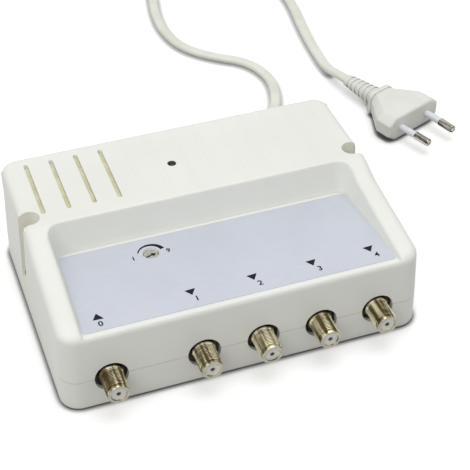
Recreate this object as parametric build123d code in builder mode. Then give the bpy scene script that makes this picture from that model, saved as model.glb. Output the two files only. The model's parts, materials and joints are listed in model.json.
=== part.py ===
from build123d import *
from math import atan2, cos, degrees, pi, radians, sin, tan
import os

# A mains television signal amplifier with one aerial input and four outputs.
# The frame: X along the front, Y towards the back, Z up. The origin is the
# middle of the underside, and the sockets look along -Y.

# Housing, all in millimetres and degrees
body_width = 156.0
body_depth = 111.0
plan_corner_radius = 8.5
wall = 2.2
seam_height = 14.6
seam_gap = 0.3
tray_draft = 1.5
cover_draft = 2.5
rear_height = 48.0
rim_front_drop = 10.2
ramp_foot_y = -7.0
ramp_foot_drop = 3.7
ramp_top_y = 2.6
ramp_foot_radius = 24.0
ramp_top_radius = 12.0
top_edge_radius = 3.5
foot_edge_radius = 1.2
lip_height = 1.8
lip_inset = 1.3
lip_clearance = 0.2
overrun = 20.0

# Recess that carries the label
recess_back_y = 1.0
recess_back_drop = 14.6
recess_front_drop = 11.4
recess_back_margin = 13.0
recess_front_margin = 10.6
recess_wall_draft = 10.0
recess_corner_radius = 4.0
recess_rim_radius = 1.0

# Label sheet on the floor of the recess
label_thickness = 0.3
label_side_margin = 0.7
label_back_margin = 2.2
label_front_margin = 4.2
label_corner_radius = 1.5
label_window_radius = 3.6

# Openings of the cover
vent_side_margin = 12.1
vent_pitch = 11.0
vent_count = 4
vent_width = 2.0
vent_length = 35.0
vent_back_margin = 8.5
led_place = (-5.6, 27.0)
led_window_radius = 1.95
trimmer_place = (-27.3, -11.6)
trimmer_window_radius = 3.4

# Side channels over the wall screws
channel_y = 11.0
channel_width = 8.5
channel_side_depth = 10.0
channel_wall = 2.0
wall_screw_margin = 6.0
wall_screw_hole_radius = 2.1

# Cover screws, driven from below
boss_side_margin = 7.5
boss_back_margin = 7.0
boss_front_margin = 9.5
boss_radius = 3.2
boss_hole_radius = 1.3
boss_hole_depth = 12.0
post_hole_radius = 1.7
post_counterbore_radius = 2.8
post_counterbore_depth = 6.0
boss_rib_thickness = 1.2
cover_screw_radius = 1.45
cover_screw_head_radius = 2.6
cover_screw_head_height = 1.9
cover_screw_length = 16.0
drive_slot_width = 0.8
drive_slot_depth = 0.9

# Underside vents
base_vent_count = 9
base_vent_pitch = 6.0
base_vent_length = 26.0
base_vent_width = 2.0
base_vent_centre = (-38.0, 30.0)

# Coaxial sockets
socket_side_margin = 20.5
socket_pitch = 25.4
socket_names = ["antenna_socket", "tv_socket_1", "tv_socket_2", "tv_socket_3", "tv_socket_4"]
socket_height = 14.4
socket_clearance_radius = 7.0
socket_protrusion = 10.6
socket_thread_radius = 4.76
socket_thread_chamfer = 0.5
socket_shoulder_radius = 5.3
socket_flange_radius = 6.4
socket_flange_thickness = 1.4
socket_tail_radius = 5.0
socket_tail_length = 2.6
socket_bore_radius = 3.25
insulator_setback = 0.7
insulator_hole_radius = 0.65
insulator_nose = 1.6
contact_tube_radius = 1.15
contact_pin_radius = 0.4
contact_pin_length = 6.0

# Screening box of tinned sheet
shield_side_margin = 12.0
shield_front_margin = 4.5
shield_back_y = -4.0
shield_z_range = (4.0, 24.0)
shield_sheet = 0.8
shield_lid_flange = 3.0
shield_lid_play = 0.05
shield_ledge_reach = 3.0
shield_ledge_width = 8.0
shield_ledge_x = [-48.0, -6.0, 46.0]
shield_tuning_hole_radius = 2.0
shield_tuning_places = [(-42.0, -28.0), (-6.0, -28.0), (20.0, -28.0), (45.0, -28.0)]
shield_shaft_hole_radius = 4.2

# Amplifier board and what stands on it
board_thickness = 1.6
board_play = 0.2
amplifier_board_top = 13.9
ferrite_size = (7.0, 6.0, 4.2)
ferrite_hole_radius = 0.9
ferrite_hole_pitch = 3.0
ferrite_places = [(-6.0, -38.0), (19.4, -38.0), (44.8, -38.0)]
ferrite_winding_reach = 0.7
ferrite_winding_thickness = 0.6
transistor_size = (4.5, 2.5, 1.5)
transistor_tab = (1.7, 4.4, 0.4)
transistor_places = [(-40.0, -22.0), (-12.0, -22.0), (14.0, -20.0)]
coil_places = [(-50.0, -30.0), (-44.0, -36.0), (-34.0, -38.0), (-30.0, -28.0)]
coil_radius = 2.0
coil_bore_radius = 1.3
coil_length = 5.0
small_can_places = [(-2.0, -12.0), (26.0, -12.0), (52.0, -14.0)]
small_can_radius = 2.5
small_can_height = 5.4

# Gain trimmer
trimmer_body_size = 9.6
trimmer_body_height = 4.8
trimmer_body_corner = 0.6
trimmer_bore_radius = 1.6
trimmer_bore_depth = 2.6
trimmer_running_clearance = 0.1
trimmer_seat_gap = 0.3
trimmer_shaft_radius = 3.1
trimmer_shaft_drop = 14.7
trimmer_waist_radius = 2.2
trimmer_waist_height = 7.0
trimmer_pointer_angle = 18.0
pointer_depth = 1.1
pointer_tail_width = 0.9
pointer_head_width = 2.8
pointer_head_length = 2.0
pointer_reach = 2.5

# Supply board and its posts
supply_board_side_margin = 17.0
supply_board_end_x = 34.0
supply_board_start_y = 0.5
supply_board_back_margin = 5.0
supply_board_bottom = 6.0
supply_board_corner = 1.5
supply_post_inset = 4.0
supply_post_radius = 3.0
supply_hole_radius = 1.6
supply_screw_radius = 1.4
supply_screw_head_radius = 2.6
supply_screw_head_height = 1.6
supply_screw_length = 6.0

# Mains transformer with a laminated core
transformer_place = (-40.0, 27.0)
core_width = 36.0
core_height = 30.0
core_stack = 14.0
core_leg = 6.0
core_window_width = 6.0
core_window_height = 18.0
bobbin_wall = 0.8
bobbin_flange = 1.0
bobbin_play = 0.1
bobbin_reach = 5.2
winding_margin = 0.5
frame_foot_thickness = 0.8
frame_foot_reach = 5.0
frame_foot_width = 10.0

# Rectifier, smoothing and regulation
diode_places = [(-12.0, 8.0), (-7.0, 8.0), (-2.0, 8.0), (3.0, 8.0)]
diode_radius = 1.35
diode_length = 5.0
diode_lead_radius = 0.4
diode_lead_span = 10.0
diode_rise = 0.3
reservoir_place = (11.0, 33.0)
reservoir_radius = 6.3
reservoir_height = 21.0
reservoir_groove_radius = 0.6
reservoir_groove_height = 18.5
output_can_place = (22.0, 30.0)
output_can_radius = 3.2
output_can_height = 11.0
suppressor_place = (-9.0, 44.0)
suppressor_size = (18.0, 7.0, 12.5)
suppressor_corner = 0.8
fuse_place = (21.0, 43.5)
fuse_radius = 2.6
fuse_length = 12.0
fuse_cap_length = 3.0
fuse_cap_radius = 2.7
fuse_axis_height = 5.2
fuse_clip_thickness = 0.6
fuse_clip_width = 2.2
heatsink_place = (16.0, 14.0)
heatsink_width = 22.0
heatsink_base = 2.0
heatsink_fin_count = 6
heatsink_fin_length = 8.0
heatsink_fin_thickness = 1.2
heatsink_height = 25.0
regulator_width = 10.0
regulator_thickness = 3.2
regulator_height = 9.0
regulator_tab_thickness = 1.3
regulator_tab_height = 15.5
regulator_lift = 6.0
regulator_lead_width = 0.8
regulator_lead_pitch = 2.5

# Lamp on a spacer tube
led_radius = 1.5
led_flange_radius = 1.85
led_flange_height = 1.0
led_body_height = 4.6
led_top_setback = 0.5
led_spacer_radius = 2.4
led_spacer_bore = 1.6

# Leads between the supply, the screening box and the cord
lead_radius = 0.7
feedthrough_place = (40.0, 9.0)
feedthrough_radius = 1.6
feedthrough_length = 4.0
supply_lead_points = [(40.0, 2.5, 9.0), (37.0, 6.0, 10.6), (31.0, 11.0, 10.6)]
supply_lead_bend = 1.2

# Cord exit, clamp and strain relief
cord_width = 5.4
cord_thickness = 3.4
gland_side_margin = 15.0
gland_height = 9.0
gland_hole = (9.0, 7.2)
gland_flange = (11.6, 10.0)
gland_flange_thickness = 1.6
gland_inner_flange = (10.4, 6.6)
gland_inner_thickness = 1.4
gland_fit_play = 0.05
relief_length = 18.5
relief_root = (9.2, 7.6)
relief_tip = (7.0, 5.0)
relief_groove_count = 5
relief_groove_width = 1.3
relief_groove_depth = 1.1
tail_back_margin = 22.5
clamp_back_margin = 13.5
clamp_size = (19.0, 5.0, 1.8)
clamp_post_x = 7.0
clamp_post_radius = 2.4
clamp_screw_radius = 1.2
clamp_screw_head_radius = 2.2
clamp_screw_head_height = 1.4
clamp_screw_length = 7.0
core_radius = 1.05
core_spread = 1.3
core_lead_bend = 3.0
core_lead_ys = [29.0, 24.0]
terminal_place = (30.3, 26.5)
terminal_size = (6.0, 10.2, 8.5)
terminal_screw_radius = 1.4
terminal_screw_depth = 1.2

# Cord on the table: its corners, and the coil of the length kept out of view
lay_height = 2.2
layer_pitch = 4.2
turn_pitch = 6.0
coil_centre = (85.0, 270.0)
coil_outer_radius = 35.5
coil_turns_in = 4
coil_turns_out = 4
coil_return_step = 7.0
coil_end_straight = 5.4
bend_share = 0.45
housing_cord_steps = [
    (0.0, 28.0, 9.0),
    (2.4, 37.7, 9.0),
    (11.4, 53.9, 2.2),
    (17.0, 64.5, 2.2),
    (20.8, 83.5, 2.2),
    (14.5, 102.0, 2.2),
    (-2.0, 113.0, 2.2),
    (-15.0, 127.5, 2.2),
    (-19.6, 147.5, 2.2),
    (-18.2, 168.5, 2.2),
    (-13.5, 189.0, 2.2),
]
plug_cord_lead = 7.2
plug_cord_points = [
    (115.2, 135.7, 3.2),
    (115.9, 150.0, 2.2),
    (117.2, 168.0, 2.2),
    (119.6, 187.0, 2.2),
    (122.6, 206.0, 2.2),
    (122.9, 224.5, 2.2),
    (121.5, 244.0, 6.4),
]
tie_sheet = 0.45
tie_play = 1.0
tie_width = 6.0
tie_corner_radius = 1.2
gap_samples = 1400

# Mains plug
plug_relief_end = (119.0, 116.3)
plug_heading = -68.85
plug_face_width = 35.3
plug_face_thickness = 13.7
plug_face_side = 6.4
plug_face_cut = 4.6
plug_straight = 9.0
plug_waist_width = 15.0
plug_waist_thickness = 11.6
plug_waist_side = 5.4
plug_waist_cut = 3.0
plug_taper_length = 14.0
plug_edge_radius = 1.5
plug_collar_width = 15.5
plug_collar_thickness = 12.4
plug_collar_length = 2.4
plug_relief_length = 22.0
plug_relief_root = (11.0, 9.6)
plug_relief_tip = (7.2, 5.2)
plug_groove_count = 6
pin_radius = 2.0
pin_length = 19.0
pin_pitch_at_face = 18.6
pin_pitch_at_tip = 17.5
pin_neck_radius = 1.5
pin_root_depth = 6.0
sleeve_root_depth = 2.0
pin_tip_radius = 1.2
sleeve_radius = 1.75
sleeve_length = 10.0

# Derived places
side_face_x = body_width / 2
back_face_y = body_depth / 2
tray_shrink = seam_height * tan(radians(tray_draft))
seam_width = body_width - 2 * tray_shrink
seam_depth = body_depth - 2 * tray_shrink
seam_corner_radius = plan_corner_radius - tray_shrink
cover_foot = seam_height + seam_gap
front_y = -seam_depth / 2
rim_front_height = rear_height - rim_front_drop
ramp_foot = (ramp_foot_y, rear_height - ramp_foot_drop)
recess_back_height = rear_height - recess_back_drop
recess_front_height = rear_height - recess_front_drop
recess_back_half_width = side_face_x - recess_back_margin
recess_front_half_width = side_face_x - recess_front_margin
recess_run = seam_depth / 2 + recess_back_y
recess_tilt = atan2(recess_front_height - recess_back_height, recess_run)
tilt_normal = (0, sin(recess_tilt), cos(recess_tilt))
label_front_y = front_y + label_front_margin
vent_x_start = vent_side_margin - side_face_x
vent_y_range = (back_face_y - vent_back_margin - vent_length, back_face_y - vent_back_margin)
channel_centre_x = side_face_x - channel_side_depth + channel_width / 2
wall_screw_x = side_face_x - wall_screw_margin
boss_x = side_face_x - boss_side_margin
boss_ys = (back_face_y - boss_back_margin, boss_front_margin - back_face_y)
boss_places = [(side * boss_x, y) for y in boss_ys for side in (-1, 1)]
last_socket_x = side_face_x - socket_side_margin
socket_places = [-last_socket_x] + [last_socket_x - i * socket_pitch for i in (3, 2, 1, 0)]
socket_tip_y = front_y - socket_protrusion
shield_half_width = side_face_x - shield_side_margin
shield_y_range = (front_y + shield_front_margin, shield_back_y)
trimmer_shaft_top = rear_height - trimmer_shaft_drop
supply_board_x_range = (supply_board_side_margin - side_face_x, supply_board_end_x)
supply_board_y_range = (supply_board_start_y, back_face_y - supply_board_back_margin)
board_top = supply_board_bottom + board_thickness
gland_x = side_face_x - gland_side_margin
tail_end_y = back_face_y - tail_back_margin
clamp_y = back_face_y - clamp_back_margin
housing_cord_points = [(gland_x + x, back_face_y + y, z) for x, y, z in housing_cord_steps]


def save(piece, name):
    piece.part.label = name
    export_step(piece.part, "parts/" + name + ".step")


def floor_plane(drop):
    """Plane of the recess floor, lowered along its own normal by drop."""
    base = Vector(0, recess_back_y, recess_back_height)
    return Plane(base - Vector(*tilt_normal) * drop, x_dir=(1, 0, 0), z_dir=tilt_normal)


def recess_outline(margin, back, reach):
    """Corners of the recess floor, its sides set in by margin, widening to the front."""
    spread = (recess_front_half_width - recess_back_half_width) / recess_run
    near = recess_back_half_width - margin + spread * back
    far = recess_back_half_width - margin + spread * reach
    return [(-near, -back), (near, -back), (far, -reach), (-far, -reach)]


def cover_form(inset):
    """Outside of the cover, or the hollow inside it when inset by the wall."""
    slope = (ramp_foot[1] - rim_front_height) / (ramp_foot[0] + seam_depth / 2)
    near_y = -seam_depth / 2 - overrun
    far_y = seam_depth / 2 + overrun
    near = (near_y, rim_front_height - slope * overrun - inset)
    foot = (ramp_foot[0], ramp_foot[1] - inset)
    brow = (ramp_top_y, rear_height - inset)
    far = (far_y, rear_height - inset)
    sky = rear_height + overrun
    with BuildPart() as form:
        with BuildSketch(Plane.XY.offset(cover_foot)):
            RectangleRounded(seam_width - 2 * inset, seam_depth - 2 * inset, seam_corner_radius - inset)
        extrude(amount=rear_height - inset - cover_foot, taper=cover_draft)
        with BuildSketch(Plane.YZ):
            with BuildLine():
                FilletPolyline(near, foot, brow, far, radius=[ramp_foot_radius, ramp_top_radius])
                Polyline(far, (far_y, sky), (near_y, sky), near)
            make_face()
        extrude(amount=body_width, both=True, mode=Mode.SUBTRACT)
        if inset == 0:
            crown = form.faces().filter_by(lambda f: f.normal_at().Z > 0.5).edges()
            rim = [e for e in crown if sum(e.is_same(other) for other in crown) == 1]
            fillet(rim, top_edge_radius)
        with BuildSketch(floor_plane(inset)) as outline:
            with BuildLine():
                Polyline(*recess_outline(-inset, -inset, recess_run + overrun), close=True)
            make_face()
            fillet(outline.vertices().group_by(Axis.Y)[-1], recess_corner_radius + inset)
        extrude(amount=rear_height, taper=-recess_wall_draft, mode=Mode.SUBTRACT)
    return form


def channel_sketch(side, width):
    """Plan of a side channel: a round inner end, open towards the side wall."""
    with Locations((side * channel_centre_x, channel_y)):
        Circle(width / 2)
    with Locations((side * (channel_centre_x + overrun / 2), channel_y)):
        Rectangle(overrun, width)


os.makedirs("parts", exist_ok=True)

# The cover: a drafted shell with a sunk, tilted floor for the label
hollow = cover_form(wall)
with BuildPart() as top_cover:
    add(cover_form(0).part)
    walls = top_cover.faces().filter_by(lambda f: abs(f.normal_at().Z) < 0.5)
    walls = walls.filter_by(lambda f: abs(f.center().X) < recess_front_half_width)
    walls = walls.filter_by(lambda f: front_y / 2 < f.center().Y < -ramp_foot[0])
    crown = top_cover.faces().filter_by(lambda f: f.normal_at().Z > 0.5)
    crown = crown.filter_by(lambda f: f.center().Z > recess_front_height + recess_rim_radius)
    crown_edges = crown.edges()
    brim = [e for e in walls.edges() if sum(e.is_same(other) for other in crown_edges) == 1]
    fillet([e for e in brim if e.center().Z > recess_front_height], recess_rim_radius)
    add(hollow.part, mode=Mode.SUBTRACT)
    # sockets, half in the cover and half in the tray
    with BuildSketch(Plane.XZ.offset(-front_y + overrun)):
        with Locations([(x, socket_height) for x in socket_places]):
            Circle(socket_clearance_radius)
    extrude(amount=-(overrun + wall + wall), mode=Mode.SUBTRACT)
    # rebate for the lip of the tray
    with BuildSketch(Plane.XY.offset(cover_foot)):
        inner = lip_inset - lip_clearance
        RectangleRounded(seam_width - 2 * inner, seam_depth - 2 * inner, seam_corner_radius - inner)
    extrude(amount=lip_height, mode=Mode.SUBTRACT)
    # walls of the side channels, then the channels themselves
    for side in (-1, 1):
        with BuildSketch(Plane.XY.offset(cover_foot)):
            channel_sketch(side, channel_width + 2 * channel_wall)
            with Locations((side * (body_width / 2 + overrun / 2 - wall), channel_y)):
                Rectangle(overrun, overrun, mode=Mode.SUBTRACT)
        extrude(amount=rear_height - wall / 2 - cover_foot)
        with BuildSketch(Plane.XY.offset(cover_foot)):
            channel_sketch(side, channel_width)
        extrude(amount=rear_height, mode=Mode.SUBTRACT)
    # screw bosses with a rib to the side wall
    for x, y in boss_places:
        roof = rear_height if y > 0 else rim_front_height
        rib_end = x + (seam_width / 2 - abs(x) - wall / 2) * x / abs(x)
        with BuildSketch(Plane.XY.offset(cover_foot)):
            with Locations((x, y)):
                Circle(boss_radius)
        extrude(amount=roof - wall / 2 - cover_foot)
        with BuildSketch(Plane.XY.offset(cover_foot + lip_height + lip_clearance)):
            with Locations(((x + rib_end) / 2, y)):
                Rectangle(abs(rib_end - x), boss_rib_thickness)
        extrude(amount=roof - wall - cover_foot - lip_height)
        with BuildSketch(Plane.XY.offset(cover_foot)):
            with Locations((x, y)):
                Circle(boss_hole_radius)
        extrude(amount=boss_hole_depth, mode=Mode.SUBTRACT)
    # cooling slots, lamp window and trimmer window
    slot_length = vent_y_range[1] - vent_y_range[0]
    slot_middle = (vent_y_range[0] + vent_y_range[1]) / 2
    with BuildSketch(Plane.XY.offset(rear_height)):
        for i in range(vent_count):
            with Locations((vent_x_start + i * vent_pitch, slot_middle)):
                SlotOverall(slot_length, vent_width, rotation=90)
        with Locations(led_place):
            Circle(led_window_radius)
    extrude(amount=-(wall + wall / 2), mode=Mode.SUBTRACT)
    with BuildSketch(Plane.XY.offset(rear_height)):
        with Locations(trimmer_place):
            Circle(trimmer_window_radius)
    extrude(amount=-(rear_height - shield_z_range[1] - shield_sheet), mode=Mode.SUBTRACT)
save(top_cover, "top_cover")

# The tray: drafted walls, a lip inside the seam, lugs, posts and vents
with BuildPart() as base_tray:
    with BuildSketch():
        RectangleRounded(body_width, body_depth, plan_corner_radius)
    extrude(amount=seam_height, taper=tray_draft)
    fillet(base_tray.faces().sort_by(Axis.Z)[0].edges(), foot_edge_radius)
    with BuildSketch(Plane.XY.offset(wall)):
        RectangleRounded(body_width - 2 * wall, body_depth - 2 * wall, plan_corner_radius - wall)
    extrude(amount=seam_height, taper=tray_draft, mode=Mode.SUBTRACT)
    # lip that the cover slips over
    with BuildSketch(Plane.XY.offset(seam_height - wall)):
        RectangleRounded(seam_width - 2 * lip_inset, seam_depth - 2 * lip_inset, seam_corner_radius - lip_inset)
        RectangleRounded(
            seam_width - 2 * wall - 2 * lip_clearance,
            seam_depth - 2 * wall - 2 * lip_clearance,
            seam_corner_radius - wall - lip_clearance,
            mode=Mode.SUBTRACT,
        )
    extrude(amount=wall + lip_height)
    # lugs that the wall screws hold
    for side in (-1, 1):
        with BuildSketch(Plane.XY.offset(seam_height)):
            channel_sketch(side, channel_width + 2 * channel_wall + 2 * lip_clearance)
        extrude(amount=overrun, mode=Mode.SUBTRACT)
        with BuildSketch(Plane.XY.offset(wall / 2)):
            channel_sketch(side, channel_width + 2 * channel_wall)
            with Locations((side * (body_width / 2 + overrun / 2 - wall), channel_y)):
                Rectangle(overrun, overrun, mode=Mode.SUBTRACT)
        extrude(amount=seam_height - wall / 2)
    with BuildSketch():
        with Locations((-wall_screw_x, channel_y), (wall_screw_x, channel_y)):
            Circle(wall_screw_hole_radius)
    extrude(amount=seam_height + wall, mode=Mode.SUBTRACT)
    # posts under the cover's bosses, with deep sinks for the screw heads
    for x, y in boss_places:
        with BuildSketch():
            with Locations((x, y)):
                Circle(boss_radius + wall / 4)
        extrude(amount=seam_height)
        with BuildSketch():
            with Locations((x, y)):
                Circle(post_counterbore_radius)
        extrude(amount=post_counterbore_depth, mode=Mode.SUBTRACT)
        with BuildSketch():
            with Locations((x, y)):
                Circle(post_hole_radius)
        extrude(amount=seam_height + lip_height, mode=Mode.SUBTRACT)
    # pads under the screening box
    pad_y = (shield_y_range[0] + shield_y_range[1]) / 2
    pad_step_y = (shield_y_range[1] - shield_y_range[0]) * bend_share
    with BuildSketch(Plane.XY.offset(wall / 2)):
        with Locations((0, pad_y)):
            with GridLocations(shield_half_width * bend_share, pad_step_y, 4, 2):
                SlotOverall(supply_post_radius * 4, wall)
    extrude(amount=shield_z_range[0] - wall / 2)
    # posts under the supply board
    post_xs = (supply_board_x_range[0] + supply_post_inset, supply_board_x_range[1] - supply_post_inset)
    post_ys = (supply_board_y_range[0] + supply_post_inset, supply_board_y_range[1] - supply_post_inset)
    supply_posts = [(x, y) for x in post_xs for y in post_ys]
    with BuildSketch(Plane.XY.offset(wall / 2)):
        with Locations(supply_posts):
            Circle(supply_post_radius)
    extrude(amount=supply_board_bottom - wall / 2)
    with BuildSketch(Plane.XY.offset(wall)):
        with Locations(supply_posts):
            Circle(supply_screw_radius)
    extrude(amount=supply_board_bottom, mode=Mode.SUBTRACT)
    # posts of the cord clamp
    clamp_posts = [(gland_x - clamp_post_x, clamp_y), (gland_x + clamp_post_x, clamp_y)]
    clamp_seat = gland_height + cord_thickness / 2
    with BuildSketch(Plane.XY.offset(wall / 2)):
        with Locations(clamp_posts):
            Circle(clamp_post_radius)
        with Locations((gland_x, clamp_y)):
            Rectangle(cord_width, clamp_size[1])
    extrude(amount=gland_height - cord_thickness / 2 - wall / 2)
    with BuildSketch(Plane.XY.offset(wall / 2)):
        with Locations(clamp_posts):
            Circle(clamp_post_radius)
    extrude(amount=clamp_seat - wall / 2)
    with BuildSketch(Plane.XY.offset(clamp_seat - clamp_screw_length)):
        with Locations(clamp_posts):
            Circle(clamp_screw_radius)
    extrude(amount=clamp_screw_length, mode=Mode.SUBTRACT)
    # the lower halves of the socket holes and the cord hole
    with BuildSketch(Plane.XZ.offset(-front_y + overrun)):
        with Locations([(x, socket_height) for x in socket_places]):
            Circle(socket_clearance_radius)
    extrude(amount=-(overrun + wall + wall), mode=Mode.SUBTRACT)
    with BuildSketch(Plane.XZ.offset(-back_face_y - overrun)):
        with Locations((gland_x, gland_height)):
            SlotOverall(gland_hole[0], gland_hole[1])
    extrude(amount=overrun + wall + wall, mode=Mode.SUBTRACT)
    # cooling slots under the transformer
    with BuildSketch():
        with Locations(base_vent_centre):
            with GridLocations(base_vent_pitch, base_vent_length, base_vent_count, 1):
                SlotOverall(base_vent_length, base_vent_width, rotation=90)
    extrude(amount=wall, mode=Mode.SUBTRACT)
save(base_tray, "base_tray")

# Label sheet, cut round the trimmer window
with BuildPart() as label_plate:
    with BuildSketch(floor_plane(0)) as sheet:
        reach = (recess_back_y - label_front_y) / cos(recess_tilt)
        with BuildLine():
            Polyline(*recess_outline(label_side_margin, label_back_margin, reach), close=True)
        make_face()
        fillet(sheet.vertices(), label_corner_radius)
    extrude(amount=label_thickness)
    with BuildSketch(Plane.XY.offset(recess_back_height - overrun)):
        with Locations(trimmer_place):
            Circle(label_window_radius)
    extrude(amount=overrun + overrun, mode=Mode.SUBTRACT)
save(label_plate, "label_plate")

# Screening box: a pan of tinned sheet with ledges for the board
shield_depth = shield_y_range[1] - shield_y_range[0]
shield_y = (shield_y_range[0] + shield_y_range[1]) / 2
shield_height = shield_z_range[1] - shield_z_range[0]
ledge_top = amplifier_board_top - board_thickness
with BuildPart() as shield_frame:
    with BuildSketch(Plane.XY.offset(shield_z_range[0])):
        with Locations((0, shield_y)):
            Rectangle(2 * shield_half_width, shield_depth)
    extrude(amount=shield_height)
    with BuildSketch(Plane.XY.offset(shield_z_range[0] + shield_sheet)):
        with Locations((0, shield_y)):
            Rectangle(2 * (shield_half_width - shield_sheet), shield_depth - 2 * shield_sheet)
    extrude(amount=shield_height, mode=Mode.SUBTRACT)
    for x in shield_ledge_x:
        with BuildSketch(Plane.XY.offset(ledge_top - shield_sheet)):
            for y, way in ((shield_y_range[0], 1), (shield_y_range[1], -1)):
                with Locations((x, y + way * shield_ledge_reach / 2)):
                    Rectangle(shield_ledge_width, shield_ledge_reach)
        extrude(amount=shield_sheet)
    with BuildSketch(Plane.XZ.offset(-shield_y_range[0])):
        with Locations([(x, socket_height) for x in socket_places]):
            Circle(socket_tail_radius)
    extrude(amount=-shield_sheet, mode=Mode.SUBTRACT)
    with BuildSketch(Plane.XZ.offset(-shield_y_range[1])):
        with Locations(feedthrough_place):
            Circle(feedthrough_radius)
    extrude(amount=shield_sheet, mode=Mode.SUBTRACT)
save(shield_frame, "shield_frame")

lid_half = shield_half_width + shield_lid_play + shield_sheet
lid_depth = shield_depth + 2 * (shield_lid_play + shield_sheet)
with BuildPart() as shield_lid:
    with BuildSketch(Plane.XY.offset(shield_z_range[1] - shield_lid_flange)):
        with Locations((0, shield_y)):
            Rectangle(2 * lid_half, lid_depth)
    extrude(amount=shield_lid_flange + shield_sheet)
    fillet(shield_lid.edges().filter_by(Axis.Z), shield_sheet)
    with BuildSketch(Plane.XY.offset(shield_z_range[1])):
        with Locations((0, shield_y)):
            Rectangle(2 * (lid_half - shield_sheet), lid_depth - 2 * shield_sheet)
    extrude(amount=-shield_lid_flange, mode=Mode.SUBTRACT)
    with BuildSketch(Plane.XY.offset(shield_z_range[1])):
        with Locations(shield_tuning_places):
            Circle(shield_tuning_hole_radius)
        with Locations(trimmer_place):
            Circle(shield_shaft_hole_radius)
    extrude(amount=shield_sheet, mode=Mode.SUBTRACT)
save(shield_lid, "shield_lid")

# Sockets: turned threaded barrels with a flange, an insulator and a contact
flange_y = shield_y_range[0]
tail_y = flange_y + shield_sheet + socket_tail_length
for name, x in zip(socket_names, socket_places):
    with BuildPart() as barrel:
        with BuildSketch(Plane.XY.offset(socket_height)):
            with BuildLine():
                Polyline(
                    (x + socket_bore_radius, socket_tip_y),
                    (x + socket_thread_radius - socket_thread_chamfer, socket_tip_y),
                    (x + socket_thread_radius, socket_tip_y + socket_thread_chamfer),
                    (x + socket_thread_radius, front_y + socket_thread_chamfer),
                    (x + socket_shoulder_radius, front_y + 2 * socket_thread_chamfer),
                    (x + socket_shoulder_radius, flange_y - socket_flange_thickness),
                    (x + socket_flange_radius, flange_y - socket_flange_thickness),
                    (x + socket_flange_radius, flange_y),
                    (x + socket_tail_radius, flange_y),
                    (x + socket_tail_radius, tail_y),
                    (x + socket_bore_radius, tail_y),
                    close=True,
                )
            make_face()
        revolve(axis=Axis((x, 0, socket_height), (0, 1, 0)))
    save(barrel, name)

nose_y = socket_tip_y + insulator_setback
with BuildPart() as socket_insulators:
    for x in socket_places:
        with BuildSketch(Plane.XZ.offset(-nose_y)):
            with Locations((x, socket_height)):
                Circle(socket_bore_radius)
        extrude(amount=-(tail_y - nose_y))
        with BuildSketch(Plane.XZ.offset(-nose_y)):
            with Locations((x, socket_height)):
                Circle(insulator_hole_radius)
        extrude(amount=-insulator_nose, mode=Mode.SUBTRACT)
        with BuildSketch(Plane.XZ.offset(-(nose_y + insulator_nose))):
            with Locations((x, socket_height)):
                Circle(contact_tube_radius)
        extrude(amount=-(tail_y - nose_y), mode=Mode.SUBTRACT)
save(socket_insulators, "socket_insulators")

contact_y = nose_y + insulator_nose
with BuildPart() as socket_contacts:
    for x in socket_places:
        with BuildSketch(Plane.XZ.offset(-contact_y)):
            with Locations((x, socket_height)):
                Circle(contact_tube_radius)
                Circle(insulator_hole_radius, mode=Mode.SUBTRACT)
        extrude(amount=-(tail_y - contact_y))
        with BuildSketch(Plane.XZ.offset(-(tail_y - contact_pin_length))):
            with Locations((x, socket_height)):
                Circle(insulator_hole_radius)
        extrude(amount=-contact_pin_length)
        with BuildSketch(Plane.XZ.offset(-tail_y)):
            with Locations((x, socket_height)):
                Circle(contact_pin_radius)
        extrude(amount=-contact_pin_length)
save(socket_contacts, "socket_contacts")

# Amplifier board with its parts
inner_half = shield_half_width - shield_sheet - board_play
inner_depth = shield_depth - 2 * (shield_sheet + board_play)
tail_notch = socket_tail_length + board_play
with BuildPart() as amplifier_board:
    with BuildSketch(Plane.XY.offset(ledge_top)):
        with Locations((0, shield_y)):
            Rectangle(2 * inner_half, inner_depth)
        with Locations([(x, tail_y - tail_notch / 2 + board_play) for x in socket_places]):
            Rectangle(2 * (socket_tail_radius + board_play), tail_notch + board_play, mode=Mode.SUBTRACT)
    extrude(amount=board_thickness)
save(amplifier_board, "amplifier_board")

with BuildPart() as splitter_ferrites:
    for x, y in ferrite_places:
        with BuildSketch(Plane.XZ.offset(-(y - ferrite_size[1] / 2))):
            with Locations((x, amplifier_board_top + ferrite_size[2] / 2)):
                SlotOverall(ferrite_size[0], ferrite_size[2])
                with GridLocations(ferrite_hole_pitch, 0, 2, 1):
                    Circle(ferrite_hole_radius, mode=Mode.SUBTRACT)
        extrude(amount=-ferrite_size[1])
save(splitter_ferrites, "splitter_ferrites")

with BuildPart() as splitter_windings:
    for x, y in ferrite_places:
        with BuildSketch(Plane.XY.offset(amplifier_board_top + ferrite_size[2] / 2 - ferrite_winding_thickness / 2)):
            with Locations((x, y)):
                length = ferrite_size[1] + 2 * ferrite_winding_reach
                Rectangle(ferrite_hole_pitch + ferrite_winding_thickness, length)
                Rectangle(
                    ferrite_hole_pitch - ferrite_winding_thickness,
                    length - 2 * ferrite_winding_thickness,
                    mode=Mode.SUBTRACT,
                )
        extrude(amount=ferrite_winding_thickness)
save(splitter_windings, "splitter_windings")

with BuildPart() as board_transistors:
    for x, y in transistor_places:
        with BuildSketch(Plane.XY.offset(amplifier_board_top)):
            with Locations((x, y)):
                Rectangle(transistor_size[0], transistor_size[1])
        extrude(amount=transistor_size[2])
        with BuildSketch(Plane.XY.offset(amplifier_board_top)):
            with Locations((x, y)):
                Rectangle(transistor_tab[0], transistor_tab[1])
        extrude(amount=transistor_tab[2])
save(board_transistors, "board_transistors")

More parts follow.
